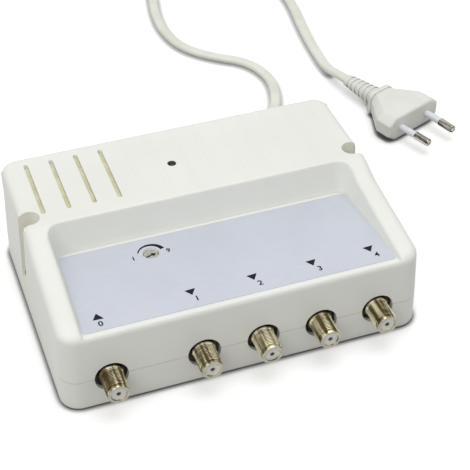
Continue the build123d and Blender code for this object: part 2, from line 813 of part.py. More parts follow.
with BuildPart() as filter_coils:
    for x, y in coil_places:
        with BuildSketch(Plane.YZ.offset(x - coil_length / 2)):
            with Locations((y, amplifier_board_top + coil_radius)):
                Circle(coil_radius)
                Circle(coil_bore_radius, mode=Mode.SUBTRACT)
        extrude(amount=coil_length)
save(filter_coils, "filter_coils")

with BuildPart() as board_capacitors:
    with BuildSketch(Plane.XY.offset(amplifier_board_top)):
        with Locations(small_can_places):
            Circle(small_can_radius)
    extrude(amount=small_can_height)
    chamfer(board_capacitors.faces().group_by(Axis.Z)[-1].edges(), diode_lead_radius)
save(board_capacitors, "board_capacitors")

# Gain trimmer: a bored body on the board and the shaft that turns in it
body_top = amplifier_board_top + trimmer_body_height
with BuildPart() as gain_trimmer_body:
    with BuildSketch(Plane.XY.offset(amplifier_board_top)):
        with Locations(trimmer_place):
            RectangleRounded(trimmer_body_size, trimmer_body_size, trimmer_body_corner)
    extrude(amount=trimmer_body_height)
    with BuildSketch(Plane.XY.offset(body_top)):
        with Locations(trimmer_place):
            Circle(trimmer_bore_radius)
    extrude(amount=-trimmer_bore_depth, mode=Mode.SUBTRACT)
save(gain_trimmer_body, "gain_trimmer_body")

shaft_foot = body_top + trimmer_seat_gap
with BuildPart() as gain_trimmer_rotor:
    with BuildSketch(Plane.XY.offset(body_top - trimmer_bore_depth + trimmer_seat_gap)):
        with Locations(trimmer_place):
            Circle(trimmer_bore_radius - trimmer_running_clearance)
    extrude(amount=trimmer_bore_depth)
    with BuildSketch(Plane.XY.offset(shaft_foot)):
        with Locations(trimmer_place):
            Circle(trimmer_shaft_radius)
    extrude(amount=trimmer_shaft_top - shaft_foot)
    with BuildSketch(Plane.XY.offset(shaft_foot + diode_lead_radius)):
        with Locations(trimmer_place):
            Circle(trimmer_shaft_radius)
            Circle(trimmer_waist_radius, mode=Mode.SUBTRACT)
    extrude(amount=trimmer_waist_height, mode=Mode.SUBTRACT)
    # the pointer: a slot with an arrow head, cut into the end of the shaft
    pointer = Plane(
        (trimmer_place[0], trimmer_place[1], trimmer_shaft_top),
        x_dir=(cos(radians(trimmer_pointer_angle)), sin(radians(trimmer_pointer_angle)), 0),
        z_dir=(0, 0, 1),
    )
    with BuildSketch(pointer):
        with Locations((-pointer_head_length / 2, 0)):
            Rectangle(2 * pointer_reach - pointer_head_length, pointer_tail_width)
        with BuildLine():
            Polyline(
                (pointer_reach - pointer_head_length, -pointer_head_width / 2),
                (pointer_reach, 0),
                (pointer_reach - pointer_head_length, pointer_head_width / 2),
                close=True,
            )
        make_face()
    extrude(amount=-pointer_depth, mode=Mode.SUBTRACT)
save(gain_trimmer_rotor, "gain_trimmer_rotor")

# Supply board on its posts
board_x = sum(supply_board_x_range) / 2
board_y = sum(supply_board_y_range) / 2
board_width = supply_board_x_range[1] - supply_board_x_range[0]
board_depth = supply_board_y_range[1] - supply_board_y_range[0]
with BuildPart() as supply_board:
    with BuildSketch(Plane.XY.offset(supply_board_bottom)):
        with Locations((board_x, board_y)):
            RectangleRounded(board_width, board_depth, supply_board_corner)
        with Locations(supply_posts):
            Circle(supply_hole_radius, mode=Mode.SUBTRACT)
    extrude(amount=board_thickness)
save(supply_board, "supply_board")

with BuildPart() as supply_board_screws:
    for x, y in supply_posts:
        with BuildSketch(Plane.XY.offset(board_top)):
            with Locations((x, y)):
                Circle(supply_screw_head_radius)
        extrude(amount=supply_screw_head_height)
        with BuildSketch(Plane.XY.offset(board_top)):
            with Locations((x, y)):
                Circle(supply_screw_radius)
        extrude(amount=-supply_screw_length / 2 - board_thickness / 2)
        with BuildSketch(Plane.XY.offset(board_top + supply_screw_head_height)):
            with Locations((x, y)):
                Rectangle(2 * supply_screw_head_radius, drive_slot_width)
        extrude(amount=-drive_slot_depth, mode=Mode.SUBTRACT)
save(supply_board_screws, "supply_board_screws")

# Transformer: laminated core, bobbin, two windings and a mounting strap
core_x, core_y = transformer_place
core_middle = board_top + frame_foot_thickness + core_height / 2
with BuildPart() as transformer_core:
    with BuildSketch(Plane.XZ.offset(-(core_y - core_stack / 2))):
        with Locations((core_x, core_middle)):
            Rectangle(core_width, core_height)
            with GridLocations(2 * core_leg + core_window_width, 0, 2, 1):
                Rectangle(core_window_width, core_window_height, mode=Mode.SUBTRACT)
    extrude(amount=-core_stack)
save(transformer_core, "transformer_core")

bobbin_x = 2 * core_leg + 2 * bobbin_play
bobbin_y = core_stack + 2 * bobbin_play
bobbin_height = core_window_height - 2 * bobbin_play
flange_x = 2 * core_leg + 2 * core_window_width - 2 * bobbin_play
flange_y_size = core_stack + 2 * bobbin_wall + 2 * bobbin_reach
with BuildPart() as transformer_bobbin:
    with BuildSketch(Plane.XY.offset(core_middle - bobbin_height / 2)):
        with Locations((core_x, core_y)):
            Rectangle(bobbin_x + 2 * bobbin_wall, bobbin_y + 2 * bobbin_wall)
    extrude(amount=bobbin_height)
    for level in (-bobbin_height / 2, -bobbin_flange / 2, bobbin_height / 2 - bobbin_flange):
        with BuildSketch(Plane.XY.offset(core_middle + level)):
            with Locations((core_x, core_y)):
                Rectangle(flange_x, flange_y_size)
        extrude(amount=bobbin_flange)
    with BuildSketch(Plane.XY.offset(core_middle - bobbin_height / 2)):
        with Locations((core_x, core_y)):
            Rectangle(bobbin_x, bobbin_y)
    extrude(amount=bobbin_height, mode=Mode.SUBTRACT)
save(transformer_bobbin, "transformer_bobbin")

with BuildPart() as transformer_windings:
    for level in (-bobbin_height / 2 + bobbin_flange, bobbin_flange / 2):
        with BuildSketch(Plane.XY.offset(core_middle + level)):
            with Locations((core_x, core_y)):
                Rectangle(flange_x - winding_margin, flange_y_size - winding_margin)
                Rectangle(bobbin_x + 2 * bobbin_wall, bobbin_y + 2 * bobbin_wall, mode=Mode.SUBTRACT)
        extrude(amount=(bobbin_height - 3 * bobbin_flange) / 2)
    fillet(transformer_windings.edges().filter_by(Axis.Z).group_by(Axis.Y)[0], winding_margin)
    fillet(transformer_windings.edges().filter_by(Axis.Z).group_by(Axis.Y)[-1], winding_margin)
save(transformer_windings, "transformer_windings")

with BuildPart() as transformer_strap:
    with BuildSketch(Plane.XZ.offset(-(core_y - frame_foot_width / 2))):
        outer_x = core_width / 2 + frame_foot_thickness
        with Locations((core_x, core_middle)):
            Rectangle(2 * outer_x, core_height + 2 * frame_foot_thickness)
            Rectangle(core_width, core_height, mode=Mode.SUBTRACT)
        with Locations((core_x, board_top + frame_foot_thickness / 2)):
            Rectangle(2 * (outer_x + frame_foot_reach), frame_foot_thickness)
    extrude(amount=-frame_foot_width)
save(transformer_strap, "transformer_strap")

# Rectifier diodes lying above the board, on bent leads
lead_height = board_top + diode_rise + diode_radius
with BuildPart() as rectifier_diodes:
    for x, y in diode_places:
        with BuildSketch(Plane.XZ.offset(-(y - diode_length / 2))):
            with Locations((x, lead_height)):
                Circle(diode_radius)
        extrude(amount=-diode_length)
        with BuildSketch(Plane.XZ.offset(-(y - diode_lead_span / 2 - diode_lead_radius))):
            with Locations((x, lead_height)):
                Circle(diode_lead_radius)
        extrude(amount=-(diode_lead_span + 2 * diode_lead_radius))
        with BuildSketch(Plane.XY.offset(board_top)):
            with Locations((x, y - diode_lead_span / 2), (x, y + diode_lead_span / 2)):
                Circle(diode_lead_radius)
        extrude(amount=lead_height - board_top)
save(rectifier_diodes, "rectifier_diodes")


def can(place, radius, height, groove_height):
    """Outline of an upright electrolytic can, revolved about its axis."""
    x, y = place
    low = board_top + groove_height - reservoir_groove_radius
    high = board_top + groove_height + reservoir_groove_radius
    dip = radius - reservoir_groove_radius / 2
    with BuildPart() as form:
        with BuildSketch(Plane.XZ.offset(-y)):
            with BuildLine():
                Polyline(
                    (x, board_top),
                    (x + radius, board_top),
                    (x + radius, low),
                    (x + dip, board_top + groove_height),
                    (x + radius, high),
                    (x + radius, board_top + height - reservoir_groove_radius),
                    (x + dip, board_top + height),
                    (x, board_top + height),
                    close=True,
                )
            make_face()
        revolve(axis=Axis((x, y, 0), (0, 0, 1)))
    return form


can_groove = reservoir_height - reservoir_groove_height
reservoir_capacitor = can(reservoir_place, reservoir_radius, reservoir_height, can_groove)
save(reservoir_capacitor, "reservoir_capacitor")
output_capacitor = can(output_can_place, output_can_radius, output_can_height, can_groove)
save(output_capacitor, "output_capacitor")

with BuildPart() as suppression_capacitor:
    with BuildSketch(Plane.XY.offset(board_top)):
        with Locations(suppressor_place):
            RectangleRounded(suppressor_size[0], suppressor_size[1], suppressor_corner)
    extrude(amount=suppressor_size[2])
    fillet(suppression_capacitor.faces().sort_by(Axis.Z)[-1].edges(), suppressor_corner)
save(suppression_capacitor, "suppression_capacitor")

# Fuse in two clips
fuse_x, fuse_y = fuse_place
fuse_z = board_top + fuse_axis_height
with BuildPart() as supply_fuse:
    with BuildSketch(Plane.YZ.offset(fuse_x - fuse_length / 2)):
        with Locations((fuse_y, fuse_z)):
            Circle(fuse_radius)
    extrude(amount=fuse_length)
    for start in (fuse_x - fuse_length / 2, fuse_x + fuse_length / 2 - fuse_cap_length):
        with BuildSketch(Plane.YZ.offset(start)):
            with Locations((fuse_y, fuse_z)):
                Circle(fuse_cap_radius)
        extrude(amount=fuse_cap_length)
save(supply_fuse, "supply_fuse")

clip_radius = fuse_cap_radius + fuse_clip_thickness
with BuildPart() as fuse_clips:
    for x in (fuse_x - (fuse_length - fuse_cap_length) / 2, fuse_x + (fuse_length - fuse_cap_length) / 2):
        with BuildSketch(Plane.YZ.offset(x - fuse_clip_width / 2)):
            with Locations((fuse_y, fuse_z)):
                Circle(clip_radius)
                Circle(fuse_cap_radius, mode=Mode.SUBTRACT)
            with Locations((fuse_y, fuse_z + clip_radius)):
                Rectangle(fuse_cap_radius, 2 * fuse_cap_radius, mode=Mode.SUBTRACT)
            with Locations((fuse_y, (board_top + fuse_z - fuse_cap_radius) / 2)):
                Rectangle(fuse_cap_radius, fuse_z - fuse_cap_radius - board_top)
        extrude(amount=fuse_clip_width)
save(fuse_clips, "fuse_clips")

# Regulator against its finned heat sink
sink_x, sink_y = heatsink_place
with BuildPart() as heat_sink:
    with BuildSketch(Plane.XY.offset(board_top)):
        with Locations((sink_x, sink_y)):
            Rectangle(heatsink_width, heatsink_base)
        fin_pitch = (heatsink_width - heatsink_fin_thickness) / (heatsink_fin_count - 1)
        with Locations((sink_x, sink_y + (heatsink_base + heatsink_fin_length) / 2 - heatsink_base / 4)):
            with GridLocations(fin_pitch, 0, heatsink_fin_count, 1):
                Rectangle(heatsink_fin_thickness, heatsink_fin_length + heatsink_base / 2)
    extrude(amount=heatsink_height)
save(heat_sink, "heat_sink")

sink_face = sink_y - heatsink_base / 2
with BuildPart() as voltage_regulator:
    with BuildSketch(Plane.XZ.offset(-sink_face)):
        with Locations((sink_x, board_top + regulator_lift + regulator_tab_height / 2)):
            Rectangle(regulator_width, regulator_tab_height)
    extrude(amount=regulator_tab_thickness)
    with BuildSketch(Plane.XZ.offset(-sink_face)):
        with Locations((sink_x, board_top + regulator_lift + regulator_height / 2)):
            Rectangle(regulator_width, regulator_height)
    extrude(amount=regulator_thickness + regulator_tab_thickness)
    lead_middle = board_top + (regulator_lift + regulator_lead_width) / 2
    with BuildSketch(Plane.XZ.offset(-(sink_face - regulator_tab_thickness))):
        with Locations((sink_x, lead_middle)):
            with GridLocations(regulator_lead_pitch, 0, 3, 1):
                Rectangle(regulator_lead_width, regulator_lift + regulator_lead_width)
    extrude(amount=regulator_lead_width)
save(voltage_regulator, "voltage_regulator")

# Lamp, held up to its window by a spacer tube
led_top = rear_height - led_top_setback
flange_z = led_top - led_body_height
with BuildPart() as led_spacer:
    with BuildSketch(Plane.XY.offset(board_top)):
        with Locations(led_place):
            Circle(led_spacer_radius)
            Circle(led_spacer_bore, mode=Mode.SUBTRACT)
    extrude(amount=flange_z - board_top)
save(led_spacer, "led_spacer")

with BuildPart() as power_led:
    with BuildSketch(Plane.XY.offset(flange_z)):
        with Locations(led_place):
            Circle(led_flange_radius)
    extrude(amount=led_flange_height)
    with BuildSketch(Plane.XY.offset(flange_z)):
        with Locations(led_place):
            Circle(led_radius)
    extrude(amount=led_body_height)
    fillet(power_led.faces().sort_by(Axis.Z)[-1].edges(), led_radius - diode_lead_radius)
    with BuildSketch(Plane.XY.offset(board_top)):
        with Locations(led_place):
            with GridLocations(2 * diode_lead_radius + led_flange_height / 2, 0, 2, 1):
                Circle(diode_lead_radius)
    extrude(amount=flange_z - board_top)
save(power_led, "power_led")

# Feedthrough in the back of the screening box, and the lead to it
with BuildPart() as feedthrough:
    with BuildSketch(Plane.XZ.offset(-(shield_y_range[1] - feedthrough_length / 2))):
        with Locations(feedthrough_place):
            Circle(feedthrough_radius)
    extrude(amount=-feedthrough_length)
save(feedthrough, "feedthrough")

lead_start = (feedthrough_place[0], shield_y_range[1] + feedthrough_length / 2, feedthrough_place[1])
lead_end = (supply_lead_points[-1][0], supply_lead_points[-1][1], board_top)
with BuildPart() as supply_lead:
    with BuildLine() as lead_path:
        FilletPolyline(lead_start, *supply_lead_points, lead_end, radius=supply_lead_bend)
    with BuildSketch(Plane(lead_start, z_dir=lead_path.line % 0)):
        Circle(lead_radius)
    sweep(path=lead_path.line)
save(supply_lead, "supply_lead")

# Cover screws, driven up through the tray's posts
with BuildPart() as cover_screws:
    for x, y in boss_places:
        head_foot = post_counterbore_depth - cover_screw_head_height
        with BuildSketch(Plane.XY.offset(head_foot)):
            with Locations((x, y)):
                Circle(cover_screw_head_radius)
        extrude(amount=cover_screw_head_height)
        with BuildSketch(Plane.XY.offset(post_counterbore_depth)):
            with Locations((x, y)):
                Circle(cover_screw_radius - board_play)
        extrude(amount=cover_screw_length)
        with BuildSketch(Plane.XY.offset(head_foot)):
            with Locations((x, y)):
                Rectangle(2 * cover_screw_head_radius, drive_slot_width)
        extrude(amount=drive_slot_depth, mode=Mode.SUBTRACT)
save(cover_screws, "cover_screws")

# Cord gland: a flanged bush in the back wall with a ribbed, tapering relief
gland_seat_y = back_face_y - (gland_height - gland_flange[1] / 2) * tan(radians(tray_draft))
gland_inner_y = back_face_y - wall - (gland_height + gland_flange[1] / 2) * tan(radians(tray_draft))
relief_root_y = gland_seat_y + gland_flange_thickness
gland_tip_y = relief_root_y + relief_length


def grooved_taper(base, root, tip, length, count):
    """A tapering sleeve along the plane's normal, with grooves cut round it."""
    with BuildPart() as form:
        with BuildSketch(base):
            SlotOverall(root[0], root[1])
        with BuildSketch(base.offset(length)):
            SlotOverall(tip[0], tip[1])
        loft()
        for i in range(count):
            share = (i + 1) / (count + 1)
            across = root[0] + (tip[0] - root[0]) * share - relief_groove_depth
            through = root[1] + (tip[1] - root[1]) * share - relief_groove_depth
            with BuildSketch(base.offset(length * share - relief_groove_width / 2)):
                SlotOverall(root[0] + relief_groove_depth, root[1] + relief_groove_depth)
                SlotOverall(across, through, mode=Mode.SUBTRACT)
            extrude(amount=relief_groove_width, mode=Mode.SUBTRACT)
    return form


relief_base = Plane((gland_x, relief_root_y, gland_height), x_dir=(1, 0, 0), z_dir=(0, 1, 0))
housing_relief = grooved_taper(relief_base, relief_root, relief_tip, relief_length, relief_groove_count)
with BuildPart() as cord_gland:
    add(housing_relief.part)
    with BuildSketch(relief_base):
        SlotOverall(gland_flange[0], gland_flange[1])
    extrude(amount=-gland_flange_thickness)
    with BuildSketch(relief_base):
        SlotOverall(gland_hole[0] - 2 * gland_fit_play, gland_hole[1] - 2 * gland_fit_play)
    extrude(amount=-(relief_root_y - gland_inner_y))
    with BuildSketch(Plane((gland_x, gland_inner_y, gland_height), x_dir=(1, 0, 0), z_dir=(0, -1, 0))):
        SlotOverall(gland_inner_flange[0], gland_inner_flange[1])
    extrude(amount=gland_inner_thickness)
save(cord_gland, "cord_gland")

# The jacketed end inside, its clamp and the two cores to the terminals
tail_start_y = gland_inner_y - gland_inner_thickness
with BuildPart() as cord_tail:
    with BuildSketch(Plane.XZ.offset(-tail_end_y)):
        with Locations((gland_x, gland_height)):
            SlotOverall(cord_width, cord_thickness)
    extrude(amount=-(tail_start_y - tail_end_y))
save(cord_tail, "cord_tail")

with BuildPart() as cord_clamp:
    with BuildSketch(Plane.XY.offset(clamp_seat)):
        with Locations((gland_x, clamp_y)):
            SlotOverall(clamp_size[0], clamp_size[1])
        with Locations(clamp_posts):
            Circle(clamp_screw_radius + board_play, mode=Mode.SUBTRACT)
    extrude(amount=clamp_size[2])
save(cord_clamp, "cord_clamp")

with BuildPart() as clamp_screws:
    for x, y in clamp_posts:
        with BuildSketch(Plane.XY.offset(clamp_seat + clamp_size[2])):
            with Locations((x, y)):
                Circle(clamp_screw_head_radius)
        extrude(amount=clamp_screw_head_height)
        with BuildSketch(Plane.XY.offset(clamp_seat + clamp_size[2])):
            with Locations((x, y)):
                Circle(clamp_screw_radius)
        extrude(amount=-clamp_screw_length)
        with BuildSketch(Plane.XY.offset(clamp_seat + clamp_size[2] + clamp_screw_head_height)):
            with Locations((x, y)):
                Rectangle(2 * clamp_screw_head_radius, drive_slot_width)
        extrude(amount=-drive_slot_depth, mode=Mode.SUBTRACT)
save(clamp_screws, "clamp_screws")

terminal_face_x = terminal_place[0] + terminal_size[0] / 2
with BuildPart() as mains_terminals:
    with BuildSketch(Plane.XY.offset(board_top)):
        with Locations(terminal_place):
            Rectangle(terminal_size[0], terminal_size[1])
    extrude(amount=terminal_size[2])
    chamfer(mains_terminals.edges().filter_by(Axis.Y).group_by(Axis.Z)[-1], diode_lead_radius)
    with BuildSketch(Plane.XY.offset(board_top + terminal_size[2])):
        with Locations([(terminal_place[0], y) for y in core_lead_ys]):
            Circle(terminal_screw_radius)
    extrude(amount=-terminal_screw_depth, mode=Mode.SUBTRACT)
save(mains_terminals, "mains_terminals")

with BuildPart() as mains_cores:
    for x, y in zip((gland_x - core_spread, gland_x + core_spread), core_lead_ys):
        start = (x, tail_end_y, gland_height)
        finish = (terminal_face_x, y, gland_height)
        with BuildLine() as core_path:
            FilletPolyline(start, (x, y, gland_height), finish, radius=core_lead_bend)
        with BuildSketch(Plane(start, z_dir=core_path.line % 0)):
            Circle(core_radius)
        sweep(path=core_path.line)
save(mains_cores, "mains_cores")


# Cord on the table
def bends(points):
    """The largest bend each corner has room for: a share of its shorter run."""
    corners = [Vector(*p) for p in points]
    radii = []
    for before, here, after in zip(corners, corners[1:], corners[2:]):
        arriving = here - before
        leaving = after - here
        turn = radians(arriving.get_angle(leaving))
        radii.append(bend_share * min(arriving.length, leaving.length) / tan(turn / 2))
    return radii


def flat_cord(points, name):
    """The cord along its corners, its flat side down."""
    radii = bends(points)
    with BuildPart() as form:
        with BuildLine() as route:
            FilletPolyline(*points, radius=radii)
        heading = route.line % 0
        across = Vector(-heading.Y, heading.X, 0)
        with BuildSketch(Plane(points[0], x_dir=across, z_dir=heading)) as section:
            SlotOverall(cord_width, cord_thickness)
        sweep(path=route.line)
    length = route.wire().length
    share = form.part.volume / (section.sketch.area * length)
    print(name, "bends", [round(r, 1) for r in radii], "length", round(length, 1), "fill", round(share, 4))
    return form


coil_x, coil_y = coil_centre
half_step = turn_pitch / 2
coil_radii = [coil_outer_radius - half_step * i for i in range(coil_turns_in + 2)]
coil_radii += [coil_radii[-1] + coil_return_step + half_step * i for i in range(coil_turns_out)]
coil_nodes = []
for i, r in enumerate(coil_radii):
    side = -1 if i % 2 == 0 else 1
    level = lay_height if i <= coil_turns_in else lay_height + layer_pitch
    coil_nodes.append(Vector(coil_x + side * r, coil_y, level))
coil_start = coil_nodes[0] - Vector(0, coil_end_straight, 0)
coil_end = coil_nodes[-1] - Vector(0, coil_end_straight, 0)
with BuildPart() as cord_coil:
    with BuildLine() as winding:
        Line(coil_start, coil_nodes[0])
        for i in range(len(coil_nodes) - 1):
            near, far = coil_nodes[i], coil_nodes[i + 1]
            way = Vector(0, 1 if i % 2 == 0 else -1, 0)
            middle = (near + far) / 2 + way * ((far - near).length / 2)
            rising = TangentArc(near, middle, tangent=way)
            TangentArc(middle, far, tangent=rising % 1)
        Line(coil_nodes[-1], coil_end)
    with BuildSketch(Plane(coil_start, x_dir=(1, 0, 0), z_dir=(0, 1, 0))) as coil_section:
        SlotOverall(cord_width, cord_thickness)
    sweep(path=winding.line)
save(cord_coil, "cord_coil")
coil_length_total = winding.wire().length
fill = cord_coil.part.volume / (coil_section.sketch.area * coil_length_total)
print("coil length", round(coil_length_total, 1), "fill", round(fill, 4))
coil_wire = winding.wire()
samples = [coil_wire @ (i / gap_samples) for i in range(gap_samples + 1)]
apart = int(gap_samples * turn_pitch * pi / coil_length_total) + 1
least = coil_outer_radius
for i in range(0, len(samples), 2):
    for j in range(i + apart, len(samples)):
        step = samples[j] - samples[i]
        beside = max(0, (step.X**2 + step.Y**2) ** 0.5 - cord_width + cord_thickness)
        least = min(least, (beside**2 + step.Z**2) ** 0.5 - cord_thickness)
print("coil's least gap to itself", round(least, 2))

gland_tip = (gland_x, gland_tip_y, gland_height)
cord_from_housing = flat_cord([gland_tip, *housing_cord_points, tuple(coil_start)], "housing cord")
save(cord_from_housing, "cord_from_housing")

inner_turn = (coil_radii[coil_turns_in + 1] + coil_radii[coil_turns_in + 2]) / 2
outer_turn = coil_radii[1] - half_step / 2
tie_near = coil_y - outer_turn - cord_width / 2 - tie_play
tie_far = coil_y - inner_turn + cord_width / 2 + tie_play
tie_low = tie_sheet
tie_high = lay_height + layer_pitch + cord_thickness / 2 + tie_play
with BuildPart() as coil_tie:
    with BuildSketch(Plane.YZ.offset(coil_x - tie_width / 2)):
        with Locations(((tie_near + tie_far) / 2, (tie_low + tie_high) / 2)):
            across = tie_far - tie_near
            through = tie_high - tie_low
            RectangleRounded(across + 2 * tie_sheet, through + 2 * tie_sheet, tie_corner_radius + tie_sheet)
            RectangleRounded(across, through, tie_corner_radius, mode=Mode.SUBTRACT)
    extrude(amount=tie_width)
save(coil_tie, "coil_tie")

# Plug: two round pins in a moulded body with a collar and a ribbed relief
plug_way = Vector(cos(radians(plug_heading)), sin(radians(plug_heading)), 0)
plug_across = Vector(-plug_way.Y, plug_way.X, 0)
plug_foot = Vector(plug_relief_end[0], plug_relief_end[1], plug_face_thickness / 2)


def plug_plane(distance, offset=0, lean=0):
    """Plane square to the plug, at a distance from the tip of its relief."""
    normal = plug_way * cos(radians(lean)) - plug_across * sin(radians(lean))
    return Plane(plug_foot + plug_way * distance + plug_across * offset, x_dir=(0, 0, 1), z_dir=normal)


def plug_section(width, thickness, side, cut):
    """Eight-cornered outline with flat ends, drawn with the width along the local Y."""
    Polygon(
        (side / 2, width / 2),
        (-side / 2, width / 2),
        (-thickness / 2, width / 2 - cut),
        (-thickness / 2, cut - width / 2),
        (-side / 2, -width / 2),
        (side / 2, -width / 2),
        (thickness / 2, cut - width / 2),
        (thickness / 2, width / 2 - cut),
        align=None,
    )


collar_start = plug_relief_length
taper_start = collar_start + plug_collar_length
straight_start = taper_start + plug_taper_length
face_at = straight_start + plug_straight
relief_foot = Plane(plug_foot + plug_way * plug_relief_length, x_dir=plug_across, z_dir=-plug_way)
plug_relief = grooved_taper(
    relief_foot, plug_relief_root, plug_relief_tip, plug_relief_length, plug_groove_count
)
pin_lean = degrees(atan2((pin_pitch_at_face - pin_pitch_at_tip) / 2, pin_length))
with BuildPart() as plug_body:
    with BuildSketch(plug_plane(straight_start)):
        plug_section(plug_face_width, plug_face_thickness, plug_face_side, plug_face_cut)
    extrude(amount=plug_straight)
    with BuildSketch(plug_plane(straight_start)):
        plug_section(plug_face_width, plug_face_thickness, plug_face_side, plug_face_cut)
    with BuildSketch(plug_plane(taper_start)):
        plug_section(plug_waist_width, plug_waist_thickness, plug_waist_side, plug_waist_cut)
    loft()
    front = plug_body.faces().filter_by(lambda f: (f.center() - plug_foot).dot(plug_way) > face_at - pin_root_depth / 2)
    face_edges = front.sort_by(lambda f: (f.center() - plug_foot).dot(plug_way))[-1].edges()
    fillet(face_edges, plug_edge_radius)
    with BuildSketch(plug_plane(collar_start)):
        with Locations((0, 0)):
            RectangleRounded(plug_collar_thickness, plug_collar_width, plug_waist_cut)
    extrude(amount=plug_collar_length)
    add(plug_relief.part)
    for side in (-1, 1):
        with BuildSketch(plug_plane(face_at, side * pin_pitch_at_face / 2, side * pin_lean)):
            Circle(pin_neck_radius)
        extrude(amount=-pin_root_depth, mode=Mode.SUBTRACT)
        with BuildSketch(plug_plane(face_at, side * pin_pitch_at_face / 2, side * pin_lean)):
            Circle(sleeve_radius)
        extrude(amount=sleeve_root_depth, both=True, mode=Mode.SUBTRACT)
save(plug_body, "plug_body")

with BuildPart() as plug_pins:
    for side in (-1, 1):
        base = plug_plane(face_at, side * pin_pitch_at_face / 2, side * pin_lean)
        with BuildSketch(base.offset(-pin_root_depth)):
            Circle(pin_neck_radius)
        extrude(amount=pin_root_depth + pin_length / 2)
        with BuildSketch(base.offset(sleeve_length)):
            Circle(pin_radius)
        extrude(amount=pin_length - sleeve_length)
    tips = plug_pins.faces().sort_by(lambda f: (f.center() - plug_foot).dot(plug_way))[-2:]
    fillet(tips.edges(), pin_tip_radius)
save(plug_pins, "plug_pins")

with BuildPart() as pin_sleeves:
    for side in (-1, 1):
        base = plug_plane(face_at, side * pin_pitch_at_face / 2, side * pin_lean)
        with BuildSketch(base.offset(-sleeve_root_depth)):
            Circle(sleeve_radius)
            Circle(pin_neck_radius, mode=Mode.SUBTRACT)
        extrude(amount=sleeve_root_depth + sleeve_length)
save(pin_sleeves, "pin_sleeves")

plug_lead_end = plug_foot - plug_way * plug_cord_lead
plug_route = [tuple(plug_foot), tuple(plug_lead_end), *plug_cord_points, tuple(coil_end)]
cord_to_plug = flat_cord(plug_route, "plug cord")
save(cord_to_plug, "cord_to_plug")
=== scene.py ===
import json
from math import cos, pi, radians, sin, tan

import bmesh
import bpy
from mathutils import Matrix, Vector


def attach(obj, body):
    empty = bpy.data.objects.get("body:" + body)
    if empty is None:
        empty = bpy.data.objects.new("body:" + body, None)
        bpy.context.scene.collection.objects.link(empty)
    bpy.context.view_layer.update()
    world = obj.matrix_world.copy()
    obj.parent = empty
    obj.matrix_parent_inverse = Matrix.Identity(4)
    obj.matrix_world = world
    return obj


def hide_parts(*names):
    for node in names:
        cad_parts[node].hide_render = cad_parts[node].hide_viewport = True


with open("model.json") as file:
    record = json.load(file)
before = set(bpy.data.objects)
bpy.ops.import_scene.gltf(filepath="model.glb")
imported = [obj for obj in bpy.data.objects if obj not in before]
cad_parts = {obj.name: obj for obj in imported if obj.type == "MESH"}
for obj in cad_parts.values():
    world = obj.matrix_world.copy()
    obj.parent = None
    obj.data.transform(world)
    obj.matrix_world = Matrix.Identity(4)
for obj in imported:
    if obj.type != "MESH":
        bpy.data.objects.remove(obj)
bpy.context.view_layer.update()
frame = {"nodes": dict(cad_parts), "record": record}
nodes = frame["nodes"]

# ---------------------------------------------------------------- shared sizes, in millimetres
mm = 0.001
front_y = -55.1177
tip_y = front_y - 10.6
flange_y = front_y + 4.5
tail_y = flange_y + 3.4
socket_height = 14.4
socket_places = {
    "antenna_socket": -57.5,
    "tv_socket_1": -18.7,
    "tv_socket_2": 6.7,
    "tv_socket_3": 32.1,
    "tv_socket_4": 57.5,
}
slot_first_x, slot_pitch, slot_count = -65.9, 11.0, 4
lamp_place = (-5.6, 27.0)
trimmer_place = (-27.3, -11.6)
plug_heading = radians(-68.85)

# ---------------------------------------------------------------- camera
eye = Vector((-0.13096, -0.40552, 0.39165))
target = Vector((0.01394, 0.0, 0.02309))
camera_data = bpy.data.cameras.new("camera")
camera_data.sensor_width = 36.0
camera_data.lens = 99.574
camera_data.clip_start = 0.01
camera_data.clip_end = 100.0
camera = bpy.data.objects.new("camera", camera_data)
camera.location = eye
camera.rotation_mode = "QUATERNION"
camera.rotation_quaternion = (target - eye).to_track_quat("-Z", "Y")
bpy.context.collection.objects.link(camera)
bpy.context.scene.camera = camera


# ---------------------------------------------------------------- helpers for shapes
def new_object(name, mesh):
    """A new piece, which rides on the housing."""
    obj = bpy.data.objects.new(name, mesh)
    bpy.context.collection.objects.link(obj)
    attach(obj, "housing")
    return obj


def shade_smooth(mesh, limit):
    """Smooth faces, with edges kept sharp where the faces turn by more than limit degrees."""
    made = bmesh.new()
    made.from_mesh(mesh)
    for face in made.faces:
        face.smooth = True
    for edge in made.edges:
        if len(edge.link_faces) == 2:
            edge.smooth = edge.calc_face_angle(0.0) < radians(limit)
    made.to_mesh(mesh)
    made.free()


def mesh_from(made, name):
    """The mesh of a bmesh, which is let go."""
    mesh = bpy.data.meshes.new(name)
    made.to_mesh(mesh)
    made.free()
    return mesh


def around(count):
    """Even angles round a full turn."""
    return [2 * pi * i / count for i in range(count)]


# ---------------------------------------------------------------- cord
# places of the cord's middle line; it lies on the floor, and in the coil's second layer on itself
exit_height, plug_height = 9.0, 6.85
lying, stacked = 2.2, 6.4
housing_run = [
    (63.0, 75.495, exit_height),
    (63.0, 83.5, exit_height),
    (65.4, 93.2, exit_height),
    (74.4, 109.4, lying),
    (80.0, 120.0, lying),
    (83.8, 139.0, lying),
    (77.5, 157.5, lying),
    (61.0, 168.5, lying),
    (48.0, 183.0, lying),
    (43.4, 203.0, lying),
    (44.8, 224.0, lying),
    (49.5, 244.5, lying),
    (49.5, 260.0, lying),
]
plug_run = [
    (121.5, 260.0, stacked),
    (121.5, 244.0, stacked),
    (122.9, 224.5, lying),
    (122.6, 206.0, lying),
    (119.6, 187.0, lying),
    (117.2, 168.0, lying),
    (115.9, 150.0, lying),
    (115.2, 135.7, 3.2),
    (116.4, 123.015, plug_height),
    (119.0, 116.3, plug_height),
]
coil_centre = (85.0, 270.0)
